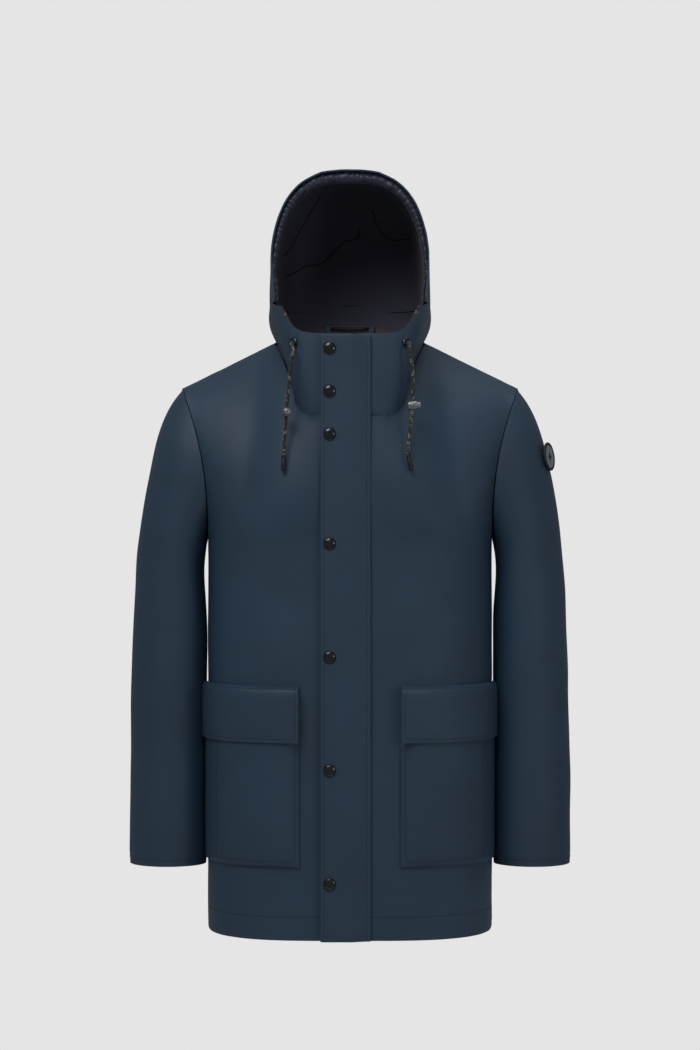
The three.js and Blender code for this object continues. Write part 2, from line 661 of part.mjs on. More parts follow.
const flapBack = -FRONT_DEPTH - FLAP_STAND;
const flapFront = flapBack - FLAP_THICK;
const snapLevels = [0, 1, 2].map((i) => SNAP_TOP_Z - i * SNAP_PITCH_NECK)
  .concat([0, 1, 2, 3].map((i) => SNAP_WAIST_Z - i * SNAP_PITCH_BODY));

const flapOutline = new THREE.Shape();
flapOutline.moveTo(-FLAP_RIGHT, HEM_Z);
flapOutline.lineTo(FLAP_LEFT, HEM_Z);
flapOutline.lineTo(FLAP_LEFT, CHIN_Z - 2);
flapOutline.lineTo(-FLAP_RIGHT, CHIN_Z - 2);
for (const z of snapLevels) {
  const hole = new THREE.Path();
  hole.absarc(SNAP_X, z, SNAP_RIVET_R + SNAP_CLEAR, 0, 2 * Math.PI, true);
  flapOutline.holes.push(hole);
}
const flap = new THREE.ExtrudeGeometry(flapOutline,
  { depth: FLAP_THICK, bevelEnabled: false, curveSegments: 5 });
flap.rotateX(Math.PI / 2);
flap.translate(0, flapBack, 0);
addPiece('storm_flap', flap, SHELL);

// Each cap is riveted through the flap to its socket; the stud faces it on the front panel.
const outwards = vec(0, -1, 0);
const socketTop = -FLAP_THICK - REST_GAP;
const socketFoot = socketTop - SNAP_SOCKET_THICK;
const capProfile = [
  [0, SNAP_CAP_RISE], [SNAP_CAP_R * 0.75, SNAP_CAP_RISE * 0.75], [SNAP_CAP_R, REST_GAP],
  [SNAP_RIVET_R, REST_GAP], [SNAP_RIVET_R, socketTop], [SNAP_SOCKET_R, socketTop],
  [SNAP_SOCKET_R, socketFoot], [SNAP_STUD_R + SNAP_CLEAR, socketFoot],
  [SNAP_STUD_R + SNAP_CLEAR, socketTop - 1], [0, socketTop - 1],
];
// The studs stand on the front edge, clear of the slack in its cloth and the collar's.
const placketY = -FRONT_DEPTH - 1.6;
const studReach = FLAP_STAND - 1.6 - REST_GAP - 1.5;
const studProfile = [
  [0, REST_GAP], [SNAP_SOCKET_R, REST_GAP], [SNAP_SOCKET_R, 1.6], [SNAP_STUD_R, 2],
  [SNAP_STUD_R, studReach], [0, studReach],
];
snapLevels.forEach((z, i) => {
  addPiece(`snap_cap_${i + 1}`, turned(capProfile, 12, vec(SNAP_X, flapFront, z), outwards), GUNMETAL);
  addPiece(`snap_stud_${i + 1}`,
    turned(studProfile, 10, vec(SNAP_X, placketY, z), outwards), GUNMETAL);
});

// ---- Front zip --------------------------------------------------------------------------

const box = (x0, x1, y0, y1, z0, z1) => {
  const geometry = new THREE.BoxGeometry(x1 - x0, y1 - y0, z1 - z0);
  geometry.translate((x0 + x1) / 2, (y0 + y1) / 2, (z0 + z1) / 2);
  return geometry;
};
const tapeFront = CLOTH + REST_GAP - FRONT_DEPTH;
const tapeMiddle = tapeFront + TAPE_THICK / 2;
const zipTop = CHIN_Z - 6;
const zipFoot = HEM_Z + HEM_DEPTH / 3;
for (const [name, side] of SIDES) {
  const edges = [side * TEETH_SPLIT, side * TEETH_HALF].sort((a, b) => a - b);
  const tape = [side * (TEETH_HALF - 0.5), side * TAPE_HALF].sort((a, b) => a - b);
  const teeth = solid(box(edges[0], edges[1], tapeMiddle - TEETH_THICK / 2,
    tapeMiddle + TEETH_THICK / 2, zipFoot, zipTop));
  const strap = solid(box(tape[0], tape[1], tapeFront, tapeFront + TAPE_THICK, zipFoot, zipTop));
  addPiece(`zip_chain_${name}`, geometryOf(teeth.add(strap)), ZIP_TAPE);
}
// The slider's two plates hold the teeth between them, joined by a post in the split.
const channel = TEETH_THICK / 2 + 0.5;
const sliderTop = zipTop + 2;
const sliderFoot = sliderTop - SLIDER_HEIGHT;
const plateFace = channel + SLIDER_WALL;
const plate = (from, to) => solid(box(-SLIDER_HALF, SLIDER_HALF, tapeMiddle + from,
  tapeMiddle + to, sliderFoot, sliderTop + SLIDER_NOSE));
const slider = plate(-plateFace, -channel)
  .add(plate(channel, plateFace))
  .add(solid(box(-SLIDER_POST, SLIDER_POST, tapeMiddle - plateFace, tapeMiddle + plateFace,
    sliderFoot, sliderTop + SLIDER_NOSE)));
addPiece('zip_slider', geometryOf(slider), GUNMETAL);

const pullBack = tapeMiddle - plateFace - REST_GAP;
const pullTop = sliderTop - 2;
addPiece('zip_pull', box(-PULL_WIDTH / 2, PULL_WIDTH / 2, pullBack - PULL_THICK, pullBack,
  pullTop - PULL_LENGTH, pullTop), GUNMETAL);

// ---- Patch pockets ----------------------------------------------------------------------

// The share of the front section at which the pocket's inner edge stands.
let pocketStart = 0.14;
while (section(pocketStart, 0, FRONT_DEPTH, PLACKET_HALF).x < POCKET_INNER_X) pocketStart += 0.001;
const torsoAt = (share, z) => section(share, z, FRONT_DEPTH, PLACKET_HALF);
const pocketStand = (u) => POCKET_DEPTH + (POCKET_SIDE_DEPTH - POCKET_DEPTH) * smooth(u);

// The bag is a shallow tray against the front, open at its top edge.
function pocketGrid(outerLayer) {
  const gusset = [0, 0.07, 0.2, 0.35, 0.5, 0.65, 0.8, 0.95, 1];
  const levels = [0, POCKET_GUSSET, 120, POCKET_TOP_Z - POCKET_BOTTOM_Z];
  return gusset.map((u, i) => levels.map((up, j) => {
    const edge = i === 0 || i === gusset.length - 1 || j === 0;
    const share = pocketStart + (POCKET_OUTER - pocketStart) * u;
    const point = torsoAt(share, POCKET_BOTTOM_Z + up);
    const stand = edge ? CLOTH + POCKET_REST : pocketStand(u);
    return point.addScaledVector(intoTorso(point), -(outerLayer ? stand : stand - CLOTH));
  }));
}
// The pocket flap hangs from a seam above the mouth and stands clear of the bag.
function pocketFlapPoint(u, v, layer) {
  const share = pocketStart + 0.002 + (POCKET_OUTER + 0.006 - pocketStart) * u;
  const point = torsoAt(share, POCKET_FLAP_TOP_Z - POCKET_FLAP_DROP * v);
  const stand = v === 0 ? 1 : (pocketStand(u) + POCKET_FLAP_GAP) * smooth(v / 0.08);
  return point.addScaledVector(intoTorso(point), -(stand + layer * CLOTH));
}
for (const [name, side] of SIDES) {
  const flip = (grid) => grid.map((line) => line.map((point) => mirrored(point, side)));
  addPiece(`pocket_${name}`, gridSolid(flip(pocketGrid(true)), flip(pocketGrid(false)), false), SHELL);
  const lines = [0, 0.125, 0.25, 0.375, 0.5, 0.625, 0.75, 0.875, 1];
  const drops = [0, 0.04, 0.08, 0.3, 0.65, 1];
  const layer = (k) => flip(lines.map((u) => drops.map((v) => pocketFlapPoint(u, v, k))));
  addPiece(`pocket_flap_${name}`, gridSolid(layer(1), layer(0), false), SHELL);
}

// ---- Hanger loop ------------------------------------------------------------------------

// A flat tape inside the back of the neck, sewn down at both ends, open in the middle.
const loopY = neckBack(1).y - liningDepth - 6;
const loopTop = neckBack(1).z + 4;
const loopOuter = new THREE.Shape();
loopOuter.moveTo(-LOOP_WIDTH / 2, loopTop - LOOP_DROP);
loopOuter.lineTo(LOOP_WIDTH / 2, loopTop - LOOP_DROP);
loopOuter.lineTo(LOOP_WIDTH / 2, loopTop);
loopOuter.lineTo(-LOOP_WIDTH / 2, loopTop);
const loopEye = new THREE.Path();
loopEye.moveTo(-LOOP_WIDTH / 2 + LOOP_TAPE, loopTop - LOOP_DROP + LOOP_THICK);
loopEye.lineTo(-LOOP_WIDTH / 2 + LOOP_TAPE, loopTop - LOOP_THICK);
loopEye.lineTo(LOOP_WIDTH / 2 - LOOP_TAPE, loopTop - LOOP_THICK);
loopEye.lineTo(LOOP_WIDTH / 2 - LOOP_TAPE, loopTop - LOOP_DROP + LOOP_THICK);
loopOuter.holes.push(loopEye);
const loop = new THREE.ExtrudeGeometry(loopOuter, { depth: LOOP_TAPE / 2, bevelEnabled: false });
loop.rotateX(Math.PI / 2);
loop.translate(0, loopY, 0);
addPiece('hanger_loop', loop, SHELL);

export default jacket;
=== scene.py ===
import math
import random

import bpy
from mathutils import Matrix, Vector
from mathutils.bvhtree import BVHTree
from mathutils.kdtree import KDTree


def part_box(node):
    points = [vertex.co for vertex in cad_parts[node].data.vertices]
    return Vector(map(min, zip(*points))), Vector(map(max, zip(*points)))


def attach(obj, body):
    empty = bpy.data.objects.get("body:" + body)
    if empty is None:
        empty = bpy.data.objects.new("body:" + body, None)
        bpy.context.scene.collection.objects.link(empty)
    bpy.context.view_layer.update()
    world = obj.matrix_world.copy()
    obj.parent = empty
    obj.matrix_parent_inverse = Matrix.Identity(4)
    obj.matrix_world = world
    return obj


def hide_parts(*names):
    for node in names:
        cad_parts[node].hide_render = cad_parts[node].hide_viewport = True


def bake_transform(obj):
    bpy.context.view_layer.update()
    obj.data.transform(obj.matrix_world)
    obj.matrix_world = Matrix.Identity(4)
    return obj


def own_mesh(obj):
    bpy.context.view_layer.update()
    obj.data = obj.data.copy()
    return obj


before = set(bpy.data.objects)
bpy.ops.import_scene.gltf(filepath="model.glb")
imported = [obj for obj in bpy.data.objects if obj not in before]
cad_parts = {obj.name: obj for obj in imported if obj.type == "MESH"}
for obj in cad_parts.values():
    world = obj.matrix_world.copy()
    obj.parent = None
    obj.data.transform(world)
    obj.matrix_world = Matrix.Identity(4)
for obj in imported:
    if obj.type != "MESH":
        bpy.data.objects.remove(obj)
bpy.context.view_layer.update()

MM = 0.001
SIDES = (("left", 1), ("right", -1))

# ---- Camera ----------------------------------------------------------------------------
# The jacket is seen straight from the front, level with its middle, from far enough away
# that the hanging sleeves look parallel.
EYE_LEVEL = -0.248
EYE_DISTANCE = 3.2
VIEW_HEIGHT = 1.47
bpy.ops.object.camera_add(location=(0, -EYE_DISTANCE, EYE_LEVEL), rotation=(math.pi / 2, 0, 0))
camera = bpy.context.object
camera.data.lens = 36 * EYE_DISTANCE / VIEW_HEIGHT
camera.data.clip_end = 30
bpy.context.scene.camera = camera


# ---- Hood drawcord, free ends ----------------------------------------------------------
# A round braided cord comes out of each eyelet and hangs over the chest to a moulded tip.
# Black polyester braid with beige fleck yarns, 4.6 mm thick.
CORD_R = 2.3 * MM
CORD_SIDES = 14
FRONT = -0.130


def deselect():
    if bpy.context.mode != "OBJECT":
        bpy.ops.object.mode_set(mode="OBJECT")
    bpy.ops.object.select_all(action="DESELECT")


def activate(piece):
    deselect()
    piece.select_set(True)
    bpy.context.view_layer.objects.active = piece


def new_piece(name, points, faces):
    mesh = bpy.data.meshes.new(name)
    mesh.from_pydata([tuple(p) for p in points], [], faces)
    mesh.update()
    piece = bpy.data.objects.new(name, mesh)
    bpy.context.collection.objects.link(piece)
    activate(piece)
    return piece


def apply_modifiers(piece):
    activate(piece)
    for modifier in list(piece.modifiers):
        bpy.ops.object.modifier_apply(modifier=modifier.name)


def face_outwards(piece):
    activate(piece)
    bpy.ops.object.mode_set(mode="EDIT")
    bpy.ops.mesh.select_all(action="SELECT")
    bpy.ops.mesh.normals_make_consistent(inside=False)
    bpy.ops.object.mode_set(mode="OBJECT")


def thicken(piece, depth):
    wall = piece.modifiers.new("wall", "SOLIDIFY")
    wall.thickness = depth
    wall.offset = -1
    apply_modifiers(piece)


def round_edges(piece, width, segments=3, sharper_than=30):
    edge = piece.modifiers.new("rounding", "BEVEL")
    edge.width = width
    edge.segments = segments
    edge.angle_limit = math.radians(sharper_than)
    apply_modifiers(piece)


def copy_of(source, name):
    """A frame piece copied in its own place, to be worked on."""
    piece = source.copy()
    piece.data = source.data.copy()
    piece.name = name
    bpy.context.collection.objects.link(piece)
    piece.hide_render = False
    piece.hide_viewport = False
    piece.parent = None
    piece.matrix_world = Matrix.Identity(4)
    activate(piece)
    return piece


def smooth_route(points, count):
    """A Catmull-Rom line through points, with count steps of equal length."""
    dense = []
    ends = [points[0] * 2 - points[1], *points, points[-1] * 2 - points[-2]]
    for a, b, c, d in zip(ends, ends[1:], ends[2:], ends[3:]):
        for i in range(24):
            t = i / 24
            dense.append(0.5 * (2 * b + (c - a) * t + (2 * a - 5 * b + 4 * c - d) * t * t
                                + (3 * b - a - 3 * c + d) * t ** 3))
    dense.append(points[-1].copy())
    lengths = [0.0]
    for a, b in zip(dense, dense[1:]):
        lengths.append(lengths[-1] + (b - a).length)
    route = []
    at = 0
    for i in range(count + 1):
        goal = lengths[-1] * i / count
        while at < len(dense) - 2 and lengths[at + 1] < goal:
            at += 1
        span = lengths[at + 1] - lengths[at]
        share = (goal - lengths[at]) / span if span else 0
        route.append(dense[at].lerp(dense[at + 1], min(1, share)))
    return route, lengths[-1]


def braided_tube(name, points, radius, sides=CORD_SIDES, step=1.2 * MM):
    """A closed tube along points, its UV map in metres round and along the cord."""
    route, length = smooth_route(points, max(8, round(length_of(points) / step)))
    rings = []
    side = Vector((0, 1, 0))
    for i, point in enumerate(route):
        ahead = (route[min(i + 1, len(route) - 1)] - route[max(i - 1, 0)]).normalized()
        side = (side - ahead * side.dot(ahead)).normalized()
        other = ahead.cross(side)
        ring = []
        for k in range(sides):
            angle = 2 * math.pi * k / sides
            lump = 1 + 0.05 * math.cos(2 * angle + i * 1.1) * math.cos(2 * angle - i * 1.1)
            ring.append(point + radius * lump * (side * math.cos(angle) + other * math.sin(angle)))
        rings.append(ring)
    points_out = [p for ring in rings for p in ring] + [route[0], route[-1]]
    faces = []
    coords = []
    for i in range(len(rings) - 1):
        for k in range(sides):
            a, b = i * sides + k, i * sides + (k + 1) % sides
            faces.append((a, b, b + sides, a + sides))
            coords.append([(k, i), (k + 1, i), (k + 1, i + 1), (k, i + 1)])
    last = (len(rings) - 1) * sides
    for k in range(sides):
        faces.append((k, len(points_out) - 2, (k + 1) % sides))
        coords.append([(k, 0), (k, 0), (k + 1, 0)])
        faces.append((last + k, last + (k + 1) % sides, len(points_out) - 1))
        coords.append([(k, len(rings)), (k + 1, len(rings)), (k, len(rings))])
    tube = new_piece(name, points_out, faces)
    layer = tube.data.uv_layers.new(name="braid_map")
    flat = [corner for face in coords for corner in face]
    for loop, (k, i) in zip(layer.data, flat):
        loop.uv = (k / sides, i * length / len(rings) / (2 * math.pi * radius))
    bpy.ops.object.shade_smooth()
    return tube, route, length


def length_of(points):
    return sum((b - a).length for a, b in zip(points, points[1:]))


def glossed(name, colour, roughness, metallic=0.0, sheen=0.0):
    """A material with its plain values on the shader, ready for its own pattern nodes."""
    material = bpy.data.materials.new(name)
    material.use_nodes = True
    shader = material.node_tree.nodes["Principled BSDF"]
    shader.inputs["Base Color"].default_value = (*colour, 1)
    shader.inputs["Roughness"].default_value = roughness
    shader.inputs["Metallic"].default_value = metallic
    shader.inputs["Sheen Weight"].default_value = sheen
    return material, material.node_tree, shader


def node(tree, kind, **values):
    """A new node with its input sockets set by name, and its properties by lower-case name."""
    made = tree.nodes.new(kind)
    for key, value in values.items():
        if hasattr(made, key) and key.islower():
            setattr(made, key, value)
        else:
            made.inputs[key.replace("_", " ")].default_value = value
    return made


def ramp(tree, source, stops):
    made = tree.nodes.new("ShaderNodeValToRGB")
    elements = made.color_ramp.elements
    while len(elements) < len(stops):
        elements.new(0.5)
    for element, (at, colour) in zip(elements, stops):
        element.position = at
        element.color = (*colour, 1) if len(colour) == 3 else colour
    tree.links.new(source, made.inputs["Fac"])
    return made


def braid_material():
    """Interlaced yarns from the cord's own map: black, with runs of beige fleck."""
    material, tree, shader = glossed("flecked_braid", (0.02, 0.019, 0.017), 0.75, sheen=0.15)
    places = node(tree, "ShaderNodeUVMap", uv_map="braid_map")
    turn = node(tree, "ShaderNodeMapping", Rotation=(0, 0, math.pi / 4), Scale=(8, 8, 1))
    yarns = node(tree, "ShaderNodeTexChecker", Scale=1.0)
    tree.links.new(places.outputs["UV"], turn.inputs["Vector"])
    tree.links.new(turn.outputs["Vector"], yarns.inputs["Vector"])
    flecks = node(tree, "ShaderNodeTexNoise", Scale=2.1, Detail=1.0)
    tree.links.new(places.outputs["UV"], flecks.inputs["Vector"])
    chosen = ramp(tree, flecks.outputs["Fac"], [(0.53, (0, 0, 0)), (0.58, (1, 1, 1))])
    both = node(tree, "ShaderNodeMath", operation="MULTIPLY")
    tree.links.new(chosen.outputs["Color"], both.inputs[0])
    tree.links.new(yarns.outputs["Fac"], both.inputs[1])
    mix = node(tree, "ShaderNodeMix", data_type="RGBA")
    mix.inputs["A"].default_value = (0.02, 0.019, 0.017, 1)
    mix.inputs["B"].default_value = (0.36, 0.29, 0.19, 1)
    tree.links.new(both.outputs["Value"], mix.inputs["Factor"])
    tree.links.new(mix.outputs["Result"], shader.inputs["Base Color"])
    bump = node(tree, "ShaderNodeBump", Strength=0.6, Distance=0.0004)
    tree.links.new(yarns.outputs["Fac"], bump.inputs["Height"])
    tree.links.new(bump.outputs["Normal"], shader.inputs["Normal"])
    return material


BRAID = braid_material()


def paint(piece, material):
    piece.data.materials.clear()
    piece.data.materials.append(material)


def fit(piece, source, body, material):
    """Painted, and placed on its body instead of a frame piece."""
    paint(piece, material)
    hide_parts(source)
    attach(piece, body)


# The route of each free end: across from the middle, out from the chest, up from the neck.
FREE_ENDS = {
    "left": [(79.4, 6, -11), (82, 7.5, -24), (83.9, 7, -42), (84.3, 6.5, -62), (83.9, 6.4, -82),
             (82.6, 6.8, -100), (80.4, 7.2, -119), (78.3, 7.9, -139), (77.6, 10.9, -153)],
    "right": [(76.2, 6, -14), (78.2, 7.5, -27), (80.6, 7, -46), (82.9, 6.5, -66),
              (84.6, 6.4, -88), (86.1, 6.8, -109), (87.6, 7.2, -130), (88.9, 7.6, -153)],
}
MOUTH = Vector((0.0768, -0.1195, -0.0027))
MOUTH_OUT = Vector((0.541, -0.841, 0))


def eyelet_mouth(side):
    """The middle of an eyelet and the way it faces, on the side that is 1 or -1."""
    return (Vector((MOUTH.x * side, MOUTH.y, MOUTH.z)),
            Vector((MOUTH_OUT.x * side, MOUTH_OUT.y, 0)).normalized())


cords = {}
for name, side in SIDES:
    mouth, out = eyelet_mouth(side)
    stops = [mouth - out * MM, mouth + out * 5 * MM]
    stops += [Vector((side * x * MM, FRONT - off * MM, z * MM)) for x, off, z in FREE_ENDS[name]]
    cord, route, length = braided_tube(f"drawcord_end_{name}", stops, CORD_R)
    fit(cord, f"drawcord_{name}", "torso", BRAID)
    cords[name] = (cord, route, length)


# ---- Shell cloth -----------------------------------------------------------------------
# The jacket is cut from rubber-coated cotton in a dark petrol navy. Each panel starts from
# its pattern piece in the frame: the outer face is kept, refined, given the slack and the
# puckered seam edges of sewn cloth, and then its thickness.
PETROL = (0.0235, 0.054, 0.094)
CLOTH = 2.2 * MM


def grain_group():
    """Fine canvas under a coating, with soft mottling and rubbed high spots."""
    group = bpy.data.node_groups.new("coated_canvas", "ShaderNodeTree")
    face = group.interface
    face.new_socket("Colour", in_out="INPUT", socket_type="NodeSocketColor")
    face.new_socket("Grain", in_out="INPUT", socket_type="NodeSocketFloat")
    face.new_socket("Colour", in_out="OUTPUT", socket_type="NodeSocketColor")
    face.new_socket("Roughness", in_out="OUTPUT", socket_type="NodeSocketFloat")
    face.new_socket("Height", in_out="OUTPUT", socket_type="NodeSocketFloat")
    given = group.nodes.new("NodeGroupInput")
    result = group.nodes.new("NodeGroupOutput")
    link = group.links.new
    place = node(group, "ShaderNodeTexCoord")
    weave = node(group, "ShaderNodeTexNoise", Detail=2.0, Roughness=0.6)
    link(given.outputs["Grain"], weave.inputs["Scale"])
    link(place.outputs["Object"], weave.inputs["Vector"])
    threads = node(group, "ShaderNodeTexVoronoi", feature="F1")
    link(given.outputs["Grain"], threads.inputs["Scale"])
    link(place.outputs["Object"], threads.inputs["Vector"])
    mottle = node(group, "ShaderNodeTexNoise", Scale=9.0, Detail=4.0, Roughness=0.55)
    link(place.outputs["Object"], mottle.inputs["Vector"])
    shade = ramp(group, mottle.outputs["Fac"], [(0.25, (0.86,) * 3), (0.75, (1.1,) * 3)])
    tint = node(group, "ShaderNodeMix", data_type="RGBA", blend_type="MULTIPLY")
    tint.inputs["Factor"].default_value = 1
    link(given.outputs["Colour"], tint.inputs["A"])
    link(shade.outputs["Color"], tint.inputs["B"])
    speck = ramp(group, weave.outputs["Fac"], [(0.3, (0.93,) * 3), (0.7, (1.06,) * 3)])
    fine = node(group, "ShaderNodeMix", data_type="RGBA", blend_type="MULTIPLY")
    fine.inputs["Factor"].default_value = 1
    link(tint.outputs["Result"], fine.inputs["A"])
    link(speck.outputs["Color"], fine.inputs["B"])
    link(fine.outputs["Result"], result.inputs["Colour"])
    rough = ramp(group, mottle.outputs["Fac"], [(0.3, (0.6,) * 3), (0.7, (0.5,) * 3)])
    link(rough.outputs["Color"], result.inputs["Roughness"])
    height = node(group, "ShaderNodeMath", operation="ADD")
    link(weave.outputs["Fac"], height.inputs[0])
    link(threads.outputs["Distance"], height.inputs[1])
    link(height.outputs["Value"], result.inputs["Height"])
    return group


CANVAS = grain_group()


def coated_cloth(name, colour, grain, depth, roughness=None, sheen=0.0):
    material, tree, shader = glossed(name, colour, roughness or 0.55, sheen=sheen)
    group = node(tree, "ShaderNodeGroup")
    group.node_tree = CANVAS
    group.inputs["Colour"].default_value = (*colour, 1)
    group.inputs["Grain"].default_value = grain
    tree.links.new(group.outputs["Colour"], shader.inputs["Base Color"])
    if roughness is None:
        tree.links.new(group.outputs["Roughness"], shader.inputs["Roughness"])
    bump = node(tree, "ShaderNodeBump", Strength=0.35, Distance=depth)
    tree.links.new(group.outputs["Height"], bump.inputs["Height"])
    tree.links.new(bump.outputs["Normal"], shader.inputs["Normal"])
    return material


SHELL = coated_cloth("petrol_coated_cotton", PETROL, 1400.0, 0.0004)
LINING = coated_cloth("dark_lining", (0.050, 0.050, 0.078), 1800.0, 0.0002, roughness=0.8,
                      sheen=0.1)


def outer_face(source, name, close=False):
    """A copy of a frame panel's outer face, in quads; close fills an eyelet's hole in it."""
    piece = copy_of(source, name)
    bpy.ops.object.mode_set(mode="EDIT")
    bpy.ops.mesh.select_mode(type="FACE")
    bpy.ops.mesh.select_all(action="SELECT")
    bpy.ops.mesh.remove_doubles(threshold=0.02 * MM)
    bpy.ops.object.mode_set(mode="OBJECT")
    drop_all_but_largest_sheet(piece)
    bpy.ops.object.mode_set(mode="EDIT")
    if close:
        bpy.ops.mesh.fill_holes(sides=40)
        bpy.ops.mesh.select_all(action="SELECT")
    bpy.ops.mesh.dissolve_limited(angle_limit=math.radians(0.2))
    bpy.ops.mesh.select_all(action="SELECT")
    bpy.ops.mesh.tris_convert_to_quads(face_threshold=math.radians(60),
                                       shape_threshold=math.radians(80))
    bpy.ops.object.mode_set(mode="OBJECT")
    return piece


def open_edges(mesh):
    """The edges of a sheet that only one face uses, as pairs of vertex numbers."""
    uses = {}
    for face in mesh.polygons:
        for key in face.edge_keys:
            uses[key] = uses.get(key, 0) + 1
    return [key for key, count in uses.items() if count == 1]


def rim_of(mesh):
    """The numbers of the vertices on a sheet's open edges."""
    return {i for key in open_edges(mesh) for i in key}


def meet_at_seams(pieces, reach=2.8 * MM):
    """Neighbouring panels share the line of their seam, halfway across the sewing gap."""
    rims = [(piece, i) for piece in pieces for i in rim_of(piece.data)]
    tree = KDTree(len(rims))
    for number, (piece, i) in enumerate(rims):
        tree.insert(piece.data.vertices[i].co, number)
    tree.balance()
    moves = []
    for piece, i in rims:
        here = piece.data.vertices[i].co
        near = [rims[n] for _, n, _ in tree.find_range(here, reach)]
        places = [other.data.vertices[k].co.copy() for other, k in near]
        moves.append((piece, i, sum(places, Vector()) / len(places)))
    for piece, i, place in moves:
        piece.data.vertices[i].co = place


def drop_all_but_largest_sheet(piece):
    """Keep the faces joined to each other without a sharp fold that have the most area."""
    mesh = piece.data
    neighbours = {}
    for face in mesh.polygons:
        for key in face.edge_keys:
            neighbours.setdefault(key, []).append(face.index)
    best, best_area = set(), 0
    left = set(range(len(mesh.polygons)))
    while left:
        patch, queue = set(), [left.pop()]
        while queue:
            at = queue.pop()
            patch.add(at)
            for key in mesh.polygons[at].edge_keys:
                for other in neighbours[key]:
                    turn = mesh.polygons[at].normal.dot(mesh.polygons[other].normal)
                    if other in left and turn > 0.55:
                        left.discard(other)
                        queue.append(other)
        area = sum(mesh.polygons[i].area for i in patch)
        if area > best_area:
            best, best_area = patch, area
    for face in mesh.polygons:
        face.select = face.index not in best
    bpy.ops.object.mode_set(mode="EDIT")
    bpy.ops.mesh.delete(type="FACE")
    bpy.ops.object.mode_set(mode="OBJECT")


def edge_weight(piece, reach):
    """Vertex groups: near_seam is 1 at the sheet's open edges, clear_of_seam 1 away from them."""
    mesh = piece.data
    rim = rim_of(mesh)
    tree = KDTree(len(rim))
    for i in rim:
        tree.insert(mesh.vertices[i].co, i)
    tree.balance()
    near = piece.vertex_groups.new(name="near_seam")
    clear = piece.vertex_groups.new(name="clear_of_seam")
    for vertex in mesh.vertices:
        away = min(1, tree.find(vertex.co)[2] / reach) if rim else 1
        near.add([vertex.index], (1 - away) ** 2, "REPLACE")
        clear.add([vertex.index], away * away * (3 - 2 * away), "REPLACE")


def cloud(name, size):
    texture = bpy.data.textures.get(name) or bpy.data.textures.new(name, "CLOUDS")
    texture.noise_scale = size
    texture.noise_depth = 1
    return texture


def slacken(piece, slack, pucker, reach=24 * MM, size=0.11):
    """Large soft undulations over the cloth, and short puckers along its seams."""
    edge_weight(piece, reach)
    for name, texture, strength, group in (
            ("slack", cloud(f"slack_{size}", size), slack, "clear_of_seam"),
            ("pucker", cloud("pucker", 0.016), pucker, "near_seam")):
        modifier = piece.modifiers.new(name, "DISPLACE")
        modifier.texture = texture
        modifier.texture_coords = "LOCAL"
        modifier.strength = strength
        modifier.mid_level = 0.5
        modifier.vertex_group = group
    roll = piece.modifiers.new("roll", "DISPLACE")
    roll.vertex_group = "near_seam"
    roll.strength = -0.8 * MM
    roll.mid_level = 0
    apply_modifiers(piece)


def keep_corners(piece, soft_beyond):
    """Crease the corners of a sheet's outline, so refining does not round them off."""
    mesh = piece.data
    beside = {}
    for a, b in open_edges(mesh):
        beside.setdefault(a, []).append(b)
        beside.setdefault(b, []).append(a)
    creases = mesh.attributes.new("crease_vert", "FLOAT", "POINT")
    for i, others in beside.items():
        if len(others) == 2:
            here = mesh.vertices[i].co
            one, two = (mesh.vertices[other].co - here for other in others)
            if one.angle(two, math.pi) < math.radians(150) and abs(here.x) < soft_beyond:
                creases.data[i].value = 1


def sewn_panel(piece, levels=3, slack=3.5 * MM, pucker=1.0 * MM, thick=CLOTH, soft_beyond=1.0):
    """Refine a panel's outer face, slacken it and give it its thickness."""
    keep_corners(piece, soft_beyond)
    refine = piece.modifiers.new("refine", "SUBSURF")
    refine.levels = refine.render_levels = levels
    refine.boundary_smooth = "PRESERVE_CORNERS"
    apply_modifiers(piece)
    slacken(piece, slack, pucker)
    thicken(piece, thick)
    bpy.ops.object.shade_smooth_by_angle(angle=math.radians(50))
    return piece


def finish_cloth(piece, source_names, body, material, bend=None):
    """Painted and placed on its body; with a bend given, it is only fixed where it lies,
    unattached, and the bend's points are not used.
    """
    paint(piece, material)
    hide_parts(*source_names)
    if bend:
        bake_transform(piece)
    else:
        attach(piece, body)
    if body == "hood":
        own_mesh(piece)


def cages(sources, close=False):
    return {name: outer_face(bpy.data.objects[source], name, close)
            for name, source in sources.items()}


# Fronts and back, meeting at the side and shoulder seams.
TORSO_PANELS = {"front_left": "front_panel_left", "front_right": "front_panel_right",
                "back": "back_panel"}
torso = cages(TORSO_PANELS)
NECK_POINT = Vector((107, 16, 8)) * MM
for panel in torso.values():
    for side in (1, -1):
        corner = Vector((NECK_POINT.x * side, NECK_POINT.y, NECK_POINT.z))
        rim = sorted(rim_of(panel.data))
        nearest = min(rim, key=lambda i: (panel.data.vertices[i].co - corner).length)
        if (panel.data.vertices[nearest].co - corner).length < 30 * MM:
            panel.data.vertices[nearest].co = corner
meet_at_seams(torso.values())
for name, source in TORSO_PANELS.items():
    panel = sewn_panel(torso[name], pucker=0.8 * MM)
    finish_cloth(panel, [source], "torso", SHELL)

